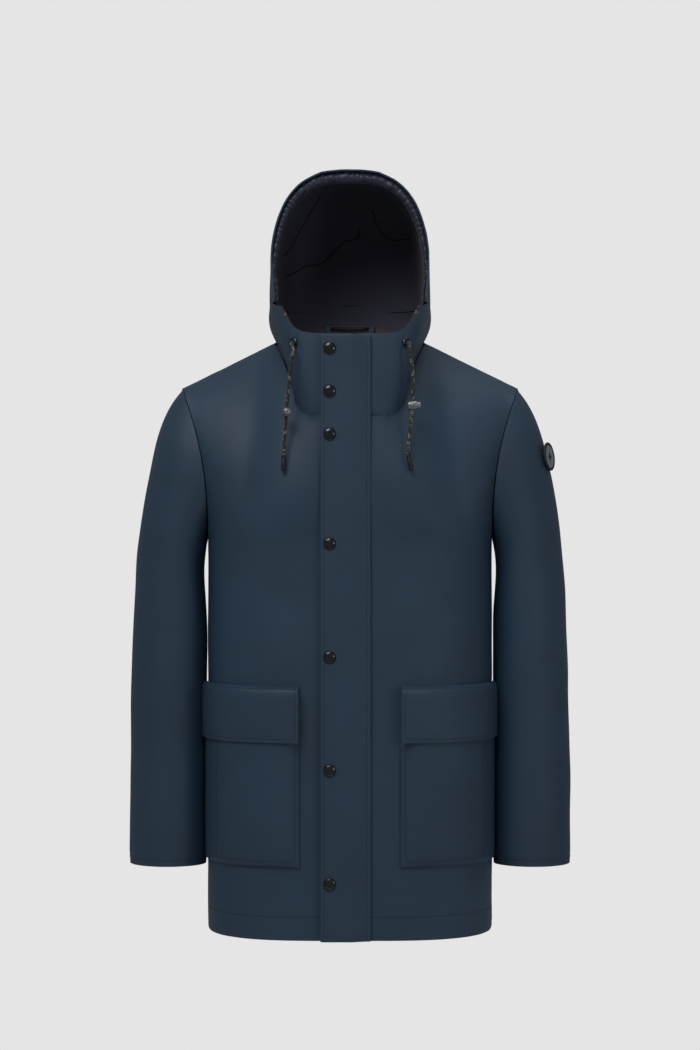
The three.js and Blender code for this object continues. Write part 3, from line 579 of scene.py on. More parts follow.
# Collar halves, meeting at the nape; their foot laps over the neckline.
COLLAR_LAP = 3.4 * MM
collars = cages({f"collar_shell_{name}": f"collar_{name}" for name, _ in SIDES}, close=True)
meet_at_seams(collars.values())
neckline = KDTree(sum(len(panel.data.vertices) for panel in torso.values()))
for panel in torso.values():
    for vertex in panel.data.vertices:
        neckline.insert(vertex.co, vertex.index)
neckline.balance()
for name, _ in SIDES:
    collar = collars[f"collar_shell_{name}"]
    for i in rim_of(collar.data):
        vertex = collar.data.vertices[i]
        if neckline.find(vertex.co)[2] < 9 * MM:
            vertex.co += vertex.normal * (2.2 * MM if vertex.co.y < -0.06 else 0)
            vertex.co.z -= COLLAR_LAP
    sewn_panel(collar, slack=1.5 * MM, pucker=0.7 * MM)
    finish_cloth(collar, [f"collar_{name}"], "torso", SHELL)

# Hood crown: two sides and a centre strip, down to the seam on the collar.
HOOD_SEAM_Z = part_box("hood_side_left")[0][2]
HOOD_PANELS = {"hood_shell_left": "hood_side_left", "hood_shell_right": "hood_side_right",
               "hood_shell_middle": "hood_centre_strip"}
hoods = cages(HOOD_PANELS)
meet_at_seams(hoods.values())
for name, crown in hoods.items():
    for vertex in crown.data.vertices:
        if vertex.co.z < HOOD_SEAM_Z + 4 * MM:
            vertex.co.z -= 0.5 * MM
    sewn_panel(crown, slack=2.5 * MM, pucker=0.8 * MM)
    finish_cloth(crown, [HOOD_PANELS[name]], "hood", SHELL)

# Sleeves, pocket bags and pocket flaps. The bend spans cover the first 20 mm past each armhole and
# the 12 mm below each pocket flap's seam; they are only passed along, and nothing bends over them.
ARMHOLE_BEND = {name: ((side * 0.215, 0, -0.056), (side * 0.237, 0, -0.0576))
                for name, side in SIDES}
FLAP_BEND = {name: ((side * 0.13, -0.118, -0.463), (side * 0.13, -0.118, -0.475))
             for name, side in SIDES}
SLEEVE_MIDDLE = 0.2565
SLEEVE_TUCK = 4.1 * MM
HIP_Z = -0.29


def hang_close(sleeve, side):
    """Let the inner side of a hanging sleeve rest against the body."""
    for vertex in sleeve.data.vertices:
        inner = min(1, max(0, (SLEEVE_MIDDLE - abs(vertex.co.x)) / 0.05))
        below = min(1, max(0, (HIP_Z - vertex.co.z) / 0.06))
        vertex.co.x -= side * SLEEVE_TUCK * inner * below


for name, side in SIDES:
    for source, body, bend in ((f"sleeve_{name}", f"sleeve_{name}", ARMHOLE_BEND[name]),
                               (f"pocket_{name}", "torso", None),
                               (f"pocket_flap_{name}", f"pocket_flap_{name}", FLAP_BEND[name])):
        piece = outer_face(bpy.data.objects[source], source.replace("_", "_cloth_", 1))
        if source.startswith("sleeve"):
            hang_close(piece, side)
        sewn_panel(piece, slack=(4 if source.startswith("sleeve") else 2) * MM,
                   soft_beyond=0.16 if source.startswith("pocket") else 1)
        finish_cloth(piece, [source], body, SHELL, bend)


# ---- Neck ------------------------------------------------------------------------------
# A facing of lining cloth backs the collar, reaching up behind the hood seam and down over
# the neckline. A brown-grey tape covers the join at the nape.
FACING_IN = 4.2 * MM
facings = cages({f"collar_facing_{name}": f"collar_{name}" for name, _ in SIDES}, close=True)
for name, side in SIDES:
    facing = facings[f"collar_facing_{name}"]
    inwards = [vertex.normal.copy() for vertex in facing.data.vertices]
    rim = rim_of(facing.data)
    for vertex, normal in zip(facing.data.vertices, inwards):
        at_nape = abs(vertex.co.x) < 3 * MM and vertex.co.y > 0
        at_foot = vertex.index in rim and neckline.find(vertex.co)[2] < 9 * MM
        at_hood = vertex.co.z > HOOD_SEAM_Z - 5 * MM and vertex.co.y > -0.075
        vertex.co -= normal * FACING_IN
        if at_foot:
            vertex.co.z -= 15 * MM
        elif at_hood:
            vertex.co.z += 13 * MM
        elif vertex.index in rim and vertex.co.y < 0:
            vertex.co.z -= 1.5 * MM
        if at_nape:
            vertex.co.x = -0.6 * MM * side
    sewn_panel(facing, levels=2, slack=1 * MM, pucker=0.3 * MM, thick=1.4 * MM)
    finish_cloth(facing, [f"collar_{name}"], "torso", LINING)

NAPE = [(-78, 66, 22), (-46, 87, 27), (0, 95, 30), (46, 87, 27), (78, 66, 22)]
TAPE_WIDE = 17 * MM
TAPE_STEPS = 60
TAPE_ROWS = 4
nape_line, _ = smooth_route([Vector(p) * MM for p in NAPE], TAPE_STEPS)
tape_points = [p + Vector((0, 0.4 * MM * k, 7 * MM - TAPE_WIDE * k / TAPE_ROWS))
               for k in range(TAPE_ROWS + 1) for p in nape_line]
tape_corners = [r * (TAPE_STEPS + 1) + i for r in range(TAPE_ROWS) for i in range(TAPE_STEPS)]
neck_tape = new_piece("neck_tape", tape_points,
                      [(c, c + 1, c + TAPE_STEPS + 2, c + TAPE_STEPS + 1) for c in tape_corners])
thicken(neck_tape, 1.2 * MM)
bpy.ops.object.shade_smooth_by_angle(angle=math.radians(40))
TAPE = coated_cloth("brown_grey_tape", (0.105, 0.083, 0.08), 2200.0, 0.0003, roughness=0.8)
finish_cloth(neck_tape, ["torso_lining"], "torso", TAPE)


# ---- Linings ---------------------------------------------------------------------------
# Plain dark lining hangs inside the torso, the sleeves and the hood.
for source, name, body in (("torso_lining", "torso_lining_cloth", "torso"),
                           ("hood_lining", "hood_lining_cloth", "hood"),
                           ("sleeve_lining_left", "arm_lining_left", "sleeve_left"),
                           ("sleeve_lining_right", "arm_lining_right", "sleeve_right")):
    lining = sewn_panel(outer_face(bpy.data.objects[source], name), levels=2, slack=3 * MM,
                        thick=1.2 * MM)
    bend = ARMHOLE_BEND[name[11:]] if name.startswith("arm_lining") else None
    finish_cloth(lining, [source], body, LINING, bend)

# The hood lining's seams show as fine welts, coloured near-black as painted shade along the seam
# lines; each is a line seen from the front.
HOOD_WELTS = (
    [(-42, 217), (-55, 200), (-72, 172), (-94, 134)],
    [(-92, 108), (-62, 126), (-41, 130), (-8, 161), (10, 164), (15, 182)],
    [(31, 202), (40, 182), (56, 163), (88, 160)],
)
hood_lining = bpy.data.objects["hood_lining_cloth"]
inside = BVHTree.FromObject(hood_lining, bpy.context.evaluated_depsgraph_get())
# The welts' near-black colour is painted shade along the lining seams.
WELT_PAINTED_SHADE = coated_cloth("welt_painted_shade", (0.010, 0.010, 0.014), 1800.0, 0.0002, roughness=0.8)
for number, line in enumerate(HOOD_WELTS, 1):
    spots, _ = smooth_route([Vector((x, 0, z)) * MM for x, z in line], 40)
    hits = [inside.ray_cast(Vector((p.x, -0.07, p.z)), Vector((0, 1, 0)))[0] for p in spots]
    hits = [hit for hit in hits if hit]
    if len(hits) > 6:
        welt, _, _ = braided_tube(f"hood_welt_{number}", hits[::3], 0.9 * MM, sides=8,
                                  step=3 * MM)
        finish_cloth(welt, ["hood_lining"], "hood", WELT_PAINTED_SHADE)


# ---- Storm flap ------------------------------------------------------------------------
# A doubled strip of the shell cloth covers the zip. Its left edge (the wearer's) is sewn
# flat to the front and topstitched; the other edge is free and held by the snaps.
flap_low, flap_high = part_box("storm_flap")
deselect()
bpy.ops.mesh.primitive_grid_add(x_subdivisions=36, y_subdivisions=220, size=1,
                                location=(0, 0, 0), rotation=(math.pi / 2, 0, 0))
flap = bpy.context.object
flap.name = "storm_flap_cloth"
flap.scale = (flap_high.x - flap_low.x, flap_high.z - flap_low.z, 1)
flap.location = ((flap_low.x + flap_high.x) / 2, flap_low.y, (flap_low.z + flap_high.z) / 2)
bpy.ops.object.transform_apply(location=True, rotation=True, scale=True)
SEWN_WIDTH = 30 * MM
SEWN_DROP = 5.6 * MM
FREE_WIDTH = 14 * MM
FREE_DROP = 1.2 * MM
STORM_BEND = ((0.028, -0.138, -0.4), (0.014, -0.138, -0.4))
for vertex in flap.data.vertices:
    place = vertex.co
    near_sewn = max(0.0, 1 - (flap_high.x - place.x) / SEWN_WIDTH)
    near_free = max(0.0, 1 - (place.x - flap_low.x) / FREE_WIDTH)
    place.y += (SEWN_DROP * near_sewn * near_sewn * (3 - 2 * near_sewn)
                + FREE_DROP * near_free ** 2)
    place.y -= 0.5 * MM * math.sin(place.z * 23 + 1) * (1 - near_sewn)
activate(flap)
slacken(flap, 1.6 * MM, 0.6 * MM, reach=14 * MM, size=0.09)
thicken(flap, 2.8 * MM)
round_edges(flap, 0.9 * MM, sharper_than=60)
bpy.ops.object.shade_smooth_by_angle(angle=math.radians(60))
finish_cloth(flap, ["storm_flap"], "storm_flap", SHELL,
             bend=STORM_BEND)


# ---- Turned metal fittings -------------------------------------------------------------
# Gunmetal snap caps, studs and eyelets are pressed; the cord stoppers are turned in a
# paler metal. Each is a profile spun about its own axis.
def spun(name, profile, at, along, steps=40):
    """A closed turned piece: profile is (radius, height) pairs, in millimetres."""
    deselect()
    along = Vector(along).normalized()
    side = along.orthogonal().normalized()
    points = [at + side * r * MM + along * h * MM for r, h in profile]
    mesh = bpy.data.meshes.new(name)
    mesh.from_pydata([tuple(p) for p in points], [(i, i + 1) for i in range(len(points) - 1)], [])
    piece = bpy.data.objects.new(name, mesh)
    bpy.context.collection.objects.link(piece)
    activate(piece)
    bpy.ops.object.mode_set(mode="EDIT")
    bpy.ops.mesh.select_all(action="SELECT")
    bpy.ops.mesh.spin(steps=steps, angle=2 * math.pi, center=at, axis=along)
    bpy.ops.mesh.select_all(action="SELECT")
    bpy.ops.mesh.remove_doubles(threshold=0.01 * MM)
    bpy.ops.mesh.normals_make_consistent(inside=False)
    bpy.ops.object.mode_set(mode="OBJECT")
    bpy.ops.object.shade_smooth_by_angle(angle=math.radians(35))
    return piece


def metal(name, colour, roughness, scratch):
    """Metal with fine rubbing marks and a little tarnish in its roughness."""
    material, tree, shader = glossed(name, colour, roughness, metallic=1.0)
    place = node(tree, "ShaderNodeTexCoord")
    marks = node(tree, "ShaderNodeTexNoise", Scale=scratch, Detail=6.0, Roughness=0.7)
    tree.links.new(place.outputs["Object"], marks.inputs["Vector"])
    rough = ramp(tree, marks.outputs["Fac"], [(0.3, (roughness * 0.8,) * 3),
                                              (0.75, (min(1, roughness * 1.5),) * 3)])
    tree.links.new(rough.outputs["Color"], shader.inputs["Roughness"])
    worn = tuple(c * 0.75 for c in colour)
    tone = ramp(tree, marks.outputs["Fac"], [(0.2, worn), (0.8, colour)])
    tree.links.new(tone.outputs["Color"], shader.inputs["Base Color"])
    bump = node(tree, "ShaderNodeBump", Strength=0.15, Distance=0.0002)
    tree.links.new(marks.outputs["Fac"], bump.inputs["Height"])
    tree.links.new(bump.outputs["Normal"], shader.inputs["Normal"])
    return material


GUNMETAL = metal("gunmetal", (0.07, 0.072, 0.078), 0.15, 900)
GREY_METAL = metal("satin_grey_metal", (0.36, 0.37, 0.38), 0.34, 1200)


# Snap caps: a domed cap with a rolled rim on the flap, riveted to its socket behind.
CAP_R = 8.5
SNAP_X = (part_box("snap_cap_1")[0].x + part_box("snap_cap_1")[1].x) / 2
cap_profile = [(0, 3.0), (2.4, 2.95), (4.6, 2.65), (6.2, 2.1), (6.9, 1.75), (7.1, 1.95),
               (7.7, 2.0), (8.25, 1.6), (CAP_R, 0.9), (8.3, 0.25), (2.8, 0.1), (2.8, -3.2),
               (5.8, -3.3), (6.0, -3.6), (6.0, -6.0), (5.6, -6.3), (2.9, -6.3), (2.9, -4.4),
               (0, -4.3)]
stud_profile = [(0, 0.3), (5.8, 0.3), (6.0, 0.8), (5.6, 1.5), (2.6, 2.0), (2.2, 2.6), (2.3, 3.4),
                (2.5, 4.0), (2.1, 4.5), (0, 4.6)]
FLAP_FACE = flap_low.y
for i in range(1, 8):
    low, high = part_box(f"snap_cap_{i}")
    level = (low.z + high.z) / 2
    cap = spun(f"snap_{i}", cap_profile, Vector((SNAP_X, FLAP_FACE, level)), (0, -1, 0), 36)
    fit(cap, f"snap_cap_{i}", "storm_flap", GUNMETAL)
    low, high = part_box(f"snap_stud_{i}")
    foot = Vector((SNAP_X, high.y + 0.3 * MM, level))
    stud = spun(f"stud_{i}", stud_profile, foot, (0, -1, 0), 24)
    fit(stud, f"snap_stud_{i}", "torso", GUNMETAL)

# Eyelets: a rolled ring through the collar on each side, for the drawcord.
eyelet_profile = [(3.2, -3.9), (4.2, -3.9), (4.2, 0.6), (5.6, 0.9), (7.2, 0.9), (7.2, 1.4),
                  (6.6, 2.1), (5.6, 2.6), (4.5, 2.6), (3.6, 2.1), (3.2, 1.2), (3.2, -3.9)]
for name, side in SIDES:
    seat, out = eyelet_mouth(side)
    eyelet = spun(f"ring_{name}", eyelet_profile, seat, out)
    fit(eyelet, f"eyelet_{name}", "torso", GUNMETAL)

# Cord stoppers: a short barrel across the cord, its plunger in the open end, and a moulded
# tip at the cord's end.
STOPPER_Z = {"left": -0.087, "right": -0.097}
STOPPER_AXIS = {"left": Vector((1, 0, 0)), "right": Vector((0.1, -1, 0)).normalized()}
TIP_LEAN = {"left": Vector((5, 0, -23)), "right": Vector((-0.8, 0, -23))}
TIP_PLASTIC = glossed("moulded_tip", (0.010, 0.010, 0.012), 0.35)[0]
barrel_profile = [(0, 0), (4.6, 0), (5.4, 0.25), (5.9, 0.9), (6.0, 1.6), (6.0, 3.2), (5.7, 3.5),
                  (5.7, 4.1), (6.0, 4.4), (6.0, 11.3), (5.7, 12), (4.8, 12), (4.8, 1.8), (0, 1.8)]
plunger_profile = [(0, 9.6), (4.4, 9.6), (4.4, 16.4), (4.1, 17.1), (3.2, 17.5), (0, 17.5)]
tip_profile = [(0, 0.8), (2.6, 0.8), (3.0, 1.4), (3.0, 5.0), (2.75, 5.4), (2.75, 6.2), (3.0, 6.6),
               (3.0, 20.5), (2.6, 22.4), (1.8, 23), (0, 23)]
for name, _ in SIDES:
    cord, route, length = cords[name]
    centre = min(route, key=lambda p: abs(p.z - STOPPER_Z[name]) + (0 if p.z < -0.03 else 1))
    axis = STOPPER_AXIS[name]
    start = centre - axis * 6 * MM
    barrel = spun(f"stopper_{name}", barrel_profile, start, axis)
    fit(barrel, f"cord_stopper_{name}", f"cord_stopper_{name}", GREY_METAL)
    plunger = spun(f"plunger_{name}", plunger_profile, start, axis)
    fit(plunger, f"stopper_plunger_{name}", f"stopper_plunger_{name}", GREY_METAL)
    tip = spun(f"tip_{name}", tip_profile, route[-1], TIP_LEAN[name], 28)
    fit(tip, f"cord_tip_{name}", "torso", TIP_PLASTIC)


# ---- Gathered tunnel -------------------------------------------------------------------
# Round the face the drawcord runs in a satin tunnel that its elastic gathers into pleats.
# The cord itself shows only where it leaves the tunnel, inside the collar.
RIM_HALF = 0.113
RIM_BASE = Vector((0.104, -0.088, 0.056))
RIM_TOP = Vector((0, -0.080, 0.2386))
ROUNDNESS = 2 / 2.8


def rim_point(share):
    """Round the face opening, from the left base at 0 over the top to the right base at 1."""
    angle = math.pi / 2 * (1 - abs(2 * share - 1))
    height = math.sin(angle) ** ROUNDNESS
    widen = min(1, height / 0.25)
    reach = RIM_BASE.x + (RIM_HALF - RIM_BASE.x) * widen * widen * (3 - 2 * widen)
    x = reach * max(0, math.cos(angle)) ** ROUNDNESS
    y = RIM_BASE.y + (RIM_TOP.y - RIM_BASE.y) * height
    z = RIM_BASE.z + (RIM_TOP.z - RIM_BASE.z) * height
    return Vector((x if share < 0.5 else -x, y, z))


BAND_STEPS = 720
BAND_SIDES = 16
BAND_WIDE = 7.6 * MM
BAND_DEEP = 8.5 * MM
chooser = random.Random(7)
dense = [rim_point(i / 2000) for i in range(2001)]
band_route, band_length = smooth_route(dense[::25], BAND_STEPS)
pleats = []
at = 0.0
while at < 1:
    pleats.append((at, chooser.uniform(0.6, 1.0), chooser.uniform(-0.5, 0.5)))
    at += chooser.choice((3, 4.5, 6, 8, 13)) * chooser.uniform(0.8, 1.2) * MM / band_length
heart = Vector((0, 0, 0.12))
band_points = []
for i, point in enumerate(band_route):
    share = i / BAND_STEPS
    k = max(n for n, pleat in enumerate(pleats) if pleat[0] <= share)
    start = pleats[k][0]
    end = pleats[k + 1][0] if k + 1 < len(pleats) else 1
    within = (share - start) / max(1e-6, end - start)
    ahead = (band_route[min(i + 1, BAND_STEPS)] - band_route[max(i - 1, 0)]).normalized()
    inwards = (heart - point)
    inwards.y = 0
    inwards = (inwards - ahead * inwards.dot(ahead)).normalized()
    back = ahead.cross(inwards)
    back = back if back.y > 0 else -back
    height = max(0, (point.z - RIM_BASE.z) / (RIM_TOP.z - RIM_BASE.z))
    taper = min(1, min(share, 1 - share) / 0.06) ** 0.5 * (0.45 + 0.6 * height ** 1.5)
    centre = point + inwards * (3.4 * MM + BAND_WIDE * taper) + back * 10.5 * MM
    puff = abs(math.sin(math.pi * within)) ** 0.55 * pleats[k][1]
    for j in range(BAND_SIDES):
        angle = 2 * math.pi * j / BAND_SIDES
        twist = angle + pleats[k][2] * 0.5
        swell = (0.78 + 0.22 * puff + 0.05 * math.sin(3 * twist + 9 * pleats[k][2])
                 + 0.05 * math.sin(2 * angle + 61 * share) * math.sin(190 * share))
        shift = ahead * (5 * MM * pleats[k][2] * math.sin(twist))
        band_points.append(centre + inwards * (BAND_WIDE * taper * swell * math.cos(angle))
                           + back * (BAND_DEEP * swell * math.sin(angle)) + shift)
band_faces = []
for i in range(BAND_STEPS):
    for j in range(BAND_SIDES):
        a, b = i * BAND_SIDES + j, i * BAND_SIDES + (j + 1) % BAND_SIDES
        band_faces.append((a, b, b + BAND_SIDES, a + BAND_SIDES))
band_faces.append(tuple(range(BAND_SIDES)))
band_faces.append(tuple(BAND_STEPS * BAND_SIDES + j for j in reversed(range(BAND_SIDES))))
band = new_piece("gathered_tunnel", band_points, band_faces)
face_outwards(band)
bpy.ops.object.shade_smooth()
SATIN = coated_cloth("navy_satin", (0.020, 0.023, 0.052), 2600.0, 0.00015, roughness=0.42,
                     sheen=0.2)
finish_cloth(band, ["hood_tunnel", "drawcord_tunnel"], "hood", SATIN)

# Inside the collar the cord climbs from each eyelet to the tunnel.
for name, side in SIDES:
    seat, out = eyelet_mouth(side)
    top = Vector((side * (RIM_BASE.x - 9.5 * MM), RIM_BASE.y + 9 * MM, RIM_BASE.z - 6 * MM))
    foot = seat - out * 4.5 * MM
    stops = [foot, foot - out * 8 * MM + Vector((0, 0, 4 * MM)),
             foot.lerp(top, 0.5) - out * 7 * MM, top]
    run, _, _ = braided_tube(f"drawcord_inside_{name}", stops, CORD_R)
    fit(run, f"drawcord_run_{name}", "torso", BRAID)


# ---- Small fittings --------------------------------------------------------------------
# The zip under the flap, its slider and pull, the hanger loop and the round arm badge.
def softened(source, name, width, material, body):
    """A copy of a frame piece with its edges rounded off."""
    piece = copy_of(bpy.data.objects[source], name)
    bpy.ops.object.mode_set(mode="EDIT")
    bpy.ops.mesh.select_all(action="SELECT")
    bpy.ops.mesh.remove_doubles(threshold=0.02 * MM)
    bpy.ops.mesh.dissolve_limited(angle_limit=math.radians(1))
    bpy.ops.object.mode_set(mode="OBJECT")
    round_edges(piece, width)
    bpy.ops.object.shade_smooth_by_angle(angle=math.radians(40))
    fit(piece, source, body, material)
    return piece


softened("zip_slider", "slider_body", 0.35 * MM, GUNMETAL, "zip_slider")
softened("zip_pull", "slider_pull", 0.5 * MM, GUNMETAL, "zip_pull")
softened("hanger_loop", "nape_loop", 0.5 * MM, SHELL, "torso")


def block(low, high, points, faces):
    """Add a small box to a growing mesh."""
    base = len(points)
    points += [(x, y, z) for x in (low[0], high[0]) for y in (low[1], high[1])
               for z in (low[2], high[2])]
    faces += [tuple(base + i for i in face) for face in
              ((0, 1, 3, 2), (4, 6, 7, 5), (0, 4, 5, 1), (2, 3, 7, 6), (0, 2, 6, 4), (1, 5, 7, 3))]


TOOTH_PITCH = 3.2 * MM
ZIP_TAPE = coated_cloth("zip_tape_weave", (0.012, 0.016, 0.024), 2400.0, 0.0003, roughness=0.85)
for name, side in SIDES:
    low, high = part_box(f"zip_chain_{name}")
    middle = (low.y + high.y) / 2
    for kind, material in (("tape", ZIP_TAPE), ("teeth", GUNMETAL)):
        points, faces = [], []
        if kind == "tape":
            ends = sorted((side * 2.4 * MM, side * 16 * MM))
            block((ends[0], middle - 0.5 * MM, low.z), (ends[1], middle + 0.5 * MM, high.z),
                  points, faces)
        else:
            level = low.z + (TOOTH_PITCH / 2 if side > 0 else 0)
            ends = sorted((side * 0.9 * MM, side * 3.9 * MM))
            while level < high.z - 2 * MM:
                block((ends[0], middle - 1.9 * MM, level),
                      (ends[1], middle + 1.9 * MM, level + 2 * MM), points, faces)
                level += TOOTH_PITCH
        row = new_piece(f"zip_{kind}_{name}", points, faces)
        if kind == "teeth":
            round_edges(row, 0.35 * MM, segments=1)
        fit(row, f"zip_chain_{name}", "torso",
            material)

# The badge: a woven disc in a dark rolled rim, with a plain eight-pointed star on it.
BADGE_OUT = Vector((0.91, -0.4, 0.12)).normalized()
badge_low, badge_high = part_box("sleeve_badge")
badge_seat = (badge_low + badge_high) / 2 - BADGE_OUT * 1.2 * MM
BADGE_GREY = coated_cloth("badge_grey_weave", (0.30, 0.32, 0.34), 1500.0, 0.0005, roughness=0.85)
BADGE_DARK = coated_cloth("badge_dark_weave", (0.018, 0.024, 0.034), 1500.0, 0.0005, roughness=0.8)
face_profile = [(0, 1.9), (15.8, 1.9), (16.2, 1.5), (16.2, 0.2), (0, 0.2)]
rim_profile = [(16.4, 0), (16.4, 2.1), (17.2, 2.7), (18.6, 2.8), (19.7, 2.1), (20, 1), (19.7, 0),
               (16.4, 0)]
badge_face = spun("badge_face", face_profile, badge_seat, BADGE_OUT)
badge_rim = spun("badge_rim", rim_profile, badge_seat, BADGE_OUT, 56)
across = BADGE_OUT.cross(Vector((0, 0, 1))).normalized()
upwards = across.cross(BADGE_OUT)
outline = []
for i in range(16):
    reach = (9.5 if i % 4 == 0 else 6 if i % 2 == 0 else 2.8) * MM
    angle = math.pi * i / 8
    outline.append(badge_seat + across * reach * math.sin(angle)
                   + upwards * reach * math.cos(angle))
star_points = [p + BADGE_OUT * rise * MM for rise in (1.95, 2.2) for p in outline]
star_points += [badge_seat + BADGE_OUT * 1.95 * MM, badge_seat + BADGE_OUT * 3.0 * MM]
star_faces = []
for i in range(16):
    j = (i + 1) % 16
    star_faces += [(i, j, 16 + j, 16 + i), (32, j, i), (33, 16 + i, 16 + j)]
badge_star = new_piece("badge_star", star_points, star_faces)
face_outwards(badge_star)
for piece, material in ((badge_face, BADGE_GREY), (badge_rim, BADGE_DARK),
                        (badge_star, BADGE_DARK)):
    fit(piece, "sleeve_badge", "sleeve_left", material)


# ---- Topstitching ----------------------------------------------------------------------
# Tonal thread runs along the hem, cuffs, pockets, pocket flaps and both edges of the storm
# flap. Each stitch is a short arched thread that dips into the cloth at both ends.
THREAD = coated_cloth("navy_thread", (0.016, 0.030, 0.050), 3000.0, 0.0001, roughness=0.6)
STITCH_PITCH = 4.4 * MM
STITCH_LENGTH = 3.2 * MM
STITCH_R = 0.42 * MM


def surface_of(piece):
    mesh = piece.data
    return BVHTree.FromPolygons([v.co for v in mesh.vertices],
                                [tuple(f.vertices) for f in mesh.polygons])


def stitch_row(name, spots, surface, source, body, bend=None):
    line, _ = smooth_route(spots, max(2, round(length_of(spots) / STITCH_PITCH)))
    points, faces = [], []
    for a, b in zip(line, line[1:]):
        place, normal, _, _ = surface.find_nearest((a + b) / 2)
        ahead = (b - a).normalized()
        ahead = (ahead - normal * ahead.dot(normal)).normalized()
        beside = ahead.cross(normal)
        base = len(points)
        for along, rise in ((-0.5, -0.3), (-0.32, 0.12), (0.32, 0.12), (0.5, -0.3)):
            for k in range(6):
                angle = math.pi * k / 3
                points.append(place + ahead * STITCH_LENGTH * along + normal * rise * MM
                              + (beside * math.cos(angle) + normal * math.sin(angle)) * STITCH_R)
        for r in range(3):
            for k in range(6):
                c, d = base + r * 6 + k, base + r * 6 + (k + 1) % 6
                faces.append((c, d, d + 6, c + 6))
        faces.append(tuple(base + k for k in reversed(range(6))))
        faces.append(tuple(base + 18 + k for k in range(6)))
    row = new_piece(name, points, faces)
    face_outwards(row)
    bpy.ops.object.shade_smooth()
    finish_cloth(row, [source], body, THREAD, bend)


def seen_from_front(surface, corners, step=6 * MM):
    """Where lines between corners, given across and up, meet a piece's front."""
    spots = []
    for (x0, z0), (x1, z1) in zip(corners, corners[1:]):
        count = max(2, int(math.hypot(x1 - x0, z1 - z0) / step))
        for i in range(count):
            t = i / count
            start = Vector((x0 + (x1 - x0) * t, -0.4, z0 + (z1 - z0) * t))
            hit = surface.ray_cast(start, Vector((0, 1, 0)))[0]
            if hit:
                spots.append(hit)
    return spots


HEM_STITCH_Z = -0.775
for cloth, source in TORSO_PANELS.items():
    surface = surface_of(bpy.data.objects[cloth])
    spots = []
    for degree in range(0, 361, 2):
        angle = math.radians(degree + (0 if cloth == "back" else 180))
        start = Vector((0.4 * math.cos(angle), 0.4 * math.sin(angle), HEM_STITCH_Z))
        if cloth != "back" or start.y > 0:
            hit = surface.ray_cast(start, Vector((-start.x, -start.y, 0)).normalized(), 0.4)[0]
            if hit and abs(hit.x) < 0.197 and (hit.y > 0) == (cloth == "back"):
                spots.append(hit)
    spots.sort(key=lambda p: p.x)
    stitch_row(f"hem_stitches_{cloth}", spots, surface, source, "torso")

for name, side in SIDES:
    sleeve = bpy.data.objects[f"sleeve_cloth_{name}"]
    surface = surface_of(sleeve)
    low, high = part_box(f"sleeve_{name}")
    cuff_level = low.z + 9 * MM
    cuff_points = [v.co for v in sleeve.data.vertices if v.co.z < low.z + 20 * MM]
    heart = sum(cuff_points, Vector()) / len(cuff_points)
    spots = []
    for degree in range(0, 361, 5):
        out = Vector((math.cos(math.radians(degree)), math.sin(math.radians(degree)), 0))
        hit = surface.ray_cast(Vector((heart.x, heart.y, cuff_level)) + out * 0.2, -out, 0.2)[0]
        if hit:
            spots.append(hit)
    stitch_row(f"cuff_stitches_{name}", spots, surface, f"sleeve_{name}", f"sleeve_{name}",
               ARMHOLE_BEND[name])
    for kind, cloth, inset in (("pocket_flap", f"pocket_cloth_flap_{name}", 5 * MM),
                               ("pocket", f"pocket_cloth_{name}", 6 * MM)):
        surface = surface_of(bpy.data.objects[cloth])
        low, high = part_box(f"{kind}_{name}")
        inner = min(abs(low.x), abs(high.x)) + inset
        outer = max(abs(low.x), abs(high.x)) - 3.2 * inset
        if kind == "pocket_flap":
            corners = [(inner, low.z + inset), (inner, high.z - inset), (outer, high.z - inset),
                       (outer, low.z + inset), (inner, low.z + inset)]
        else:
            corners = [(inner, high.z - 4 * MM), (inner, low.z + inset + 3 * MM),
                       (outer, low.z + inset + 3 * MM), (outer, high.z - 4 * MM)]
        spots = seen_from_front(surface, [(side * x, z) for x, z in corners])
        body = f"pocket_flap_{name}" if kind == "pocket_flap" else "torso"
        stitch_row(f"{kind}_stitches_{name}", spots, surface, f"{kind}_{name}", body,
                   FLAP_BEND[name] if kind == "pocket_flap" else None)

surface = surface_of(flap)
for name, x in (("sewn", flap_high.x - 6 * MM), ("free", flap_low.x + 5 * MM)):
    ends = [(x, flap_low.z + 5 * MM), (x, flap_high.z - 5 * MM)]
    spots = seen_from_front(surface, ends, 12 * MM)
    stitch_row(f"storm_flap_stitches_{name}", spots, surface, "storm_flap", "storm_flap",
               STORM_BEND)
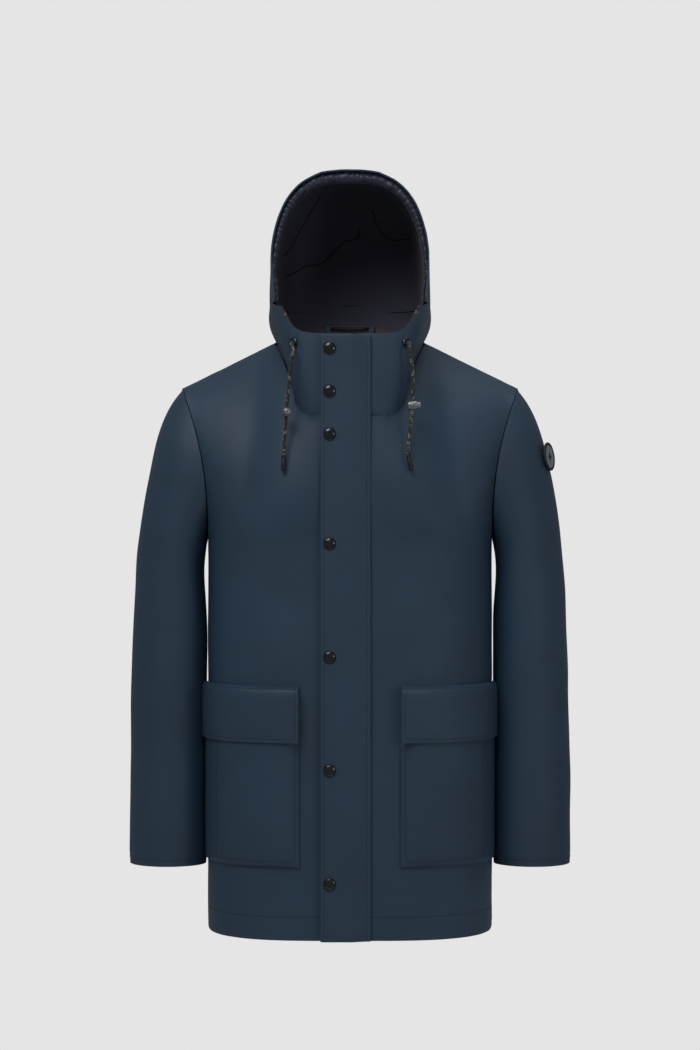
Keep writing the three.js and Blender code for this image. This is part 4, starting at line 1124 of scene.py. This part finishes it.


# ---- Cut sizes -------------------------------------------------------------------------
# Each panel was cut flat. Its longest reach is worked out here and not kept; its area is not
# worked out.
PANELS = ["front_left", "front_right", "back", "storm_flap_cloth", "torso_lining_cloth",
          "hood_lining_cloth", "hood_shell_left", "hood_shell_right", "hood_shell_middle"]
for name, _ in SIDES:
    PANELS += [f"collar_shell_{name}", f"sleeve_cloth_{name}", f"arm_lining_{name}",
               f"pocket_cloth_{name}", f"pocket_cloth_flap_{name}", f"collar_facing_{name}"]
for name in PANELS:
    panel = bpy.data.objects[name]
    reach = max(panel.dimensions)


# ---- Studio ----------------------------------------------------------------------------
# A pale floor far below, an even pale surround, and large soft lamps from the front left.
PALE = 0.784
deselect()
bpy.ops.mesh.primitive_circle_add(vertices=64, radius=1.15, fill_type="NGON",
                                  location=(0, 0.1, -1.32))
floor = bpy.context.object
floor.name = "studio_floor"
floor_paint, _, _ = glossed("pale_floor", (0.75, 0.75, 0.75), 0.8)
paint(floor, floor_paint)

world = bpy.data.worlds.new("studio")
bpy.context.scene.world = world
world.use_nodes = True
sky = world.node_tree
surround = sky.nodes["Background"]
surround.inputs["Color"].default_value = (0.9, 0.95, 1.0, 1)
surround.inputs["Strength"].default_value = 0.22
plain = node(sky, "ShaderNodeBackground", Color=(PALE, PALE, PALE, 1), Strength=1.0)
seen = node(sky, "ShaderNodeLightPath")
choice = node(sky, "ShaderNodeMixShader")
sky.links.new(seen.outputs["Is Camera Ray"], choice.inputs["Fac"])
sky.links.new(surround.outputs["Background"], choice.inputs[1])
sky.links.new(plain.outputs["Background"], choice.inputs[2])
sky.links.new(choice.outputs["Shader"], sky.nodes["World Output"].inputs["Surface"])


def soft_lamp(name, place, aim, size, power, colour=(1, 1, 1)):
    deselect()
    bpy.ops.object.light_add(type="AREA", location=place)
    lamp = bpy.context.object
    lamp.name = name
    lamp.data.size = size
    lamp.data.energy = power
    lamp.data.color = colour
    lamp.rotation_euler = (Vector(aim) - Vector(place)).to_track_quat("-Z", "Y").to_euler()
    return lamp


soft_lamp("key", (-0.9, -2.3, 2.2), (0, 0, -0.1), 1.8, 44)
soft_lamp("side", (2.1, -2.5, 0.0), (0, 0, -0.3), 0.5, 6)
soft_lamp("top", (0.3, 0.1, 2.2), (0, 0, 0), 1.4, 10)
bpy.context.scene.view_settings.view_transform = "Standard"
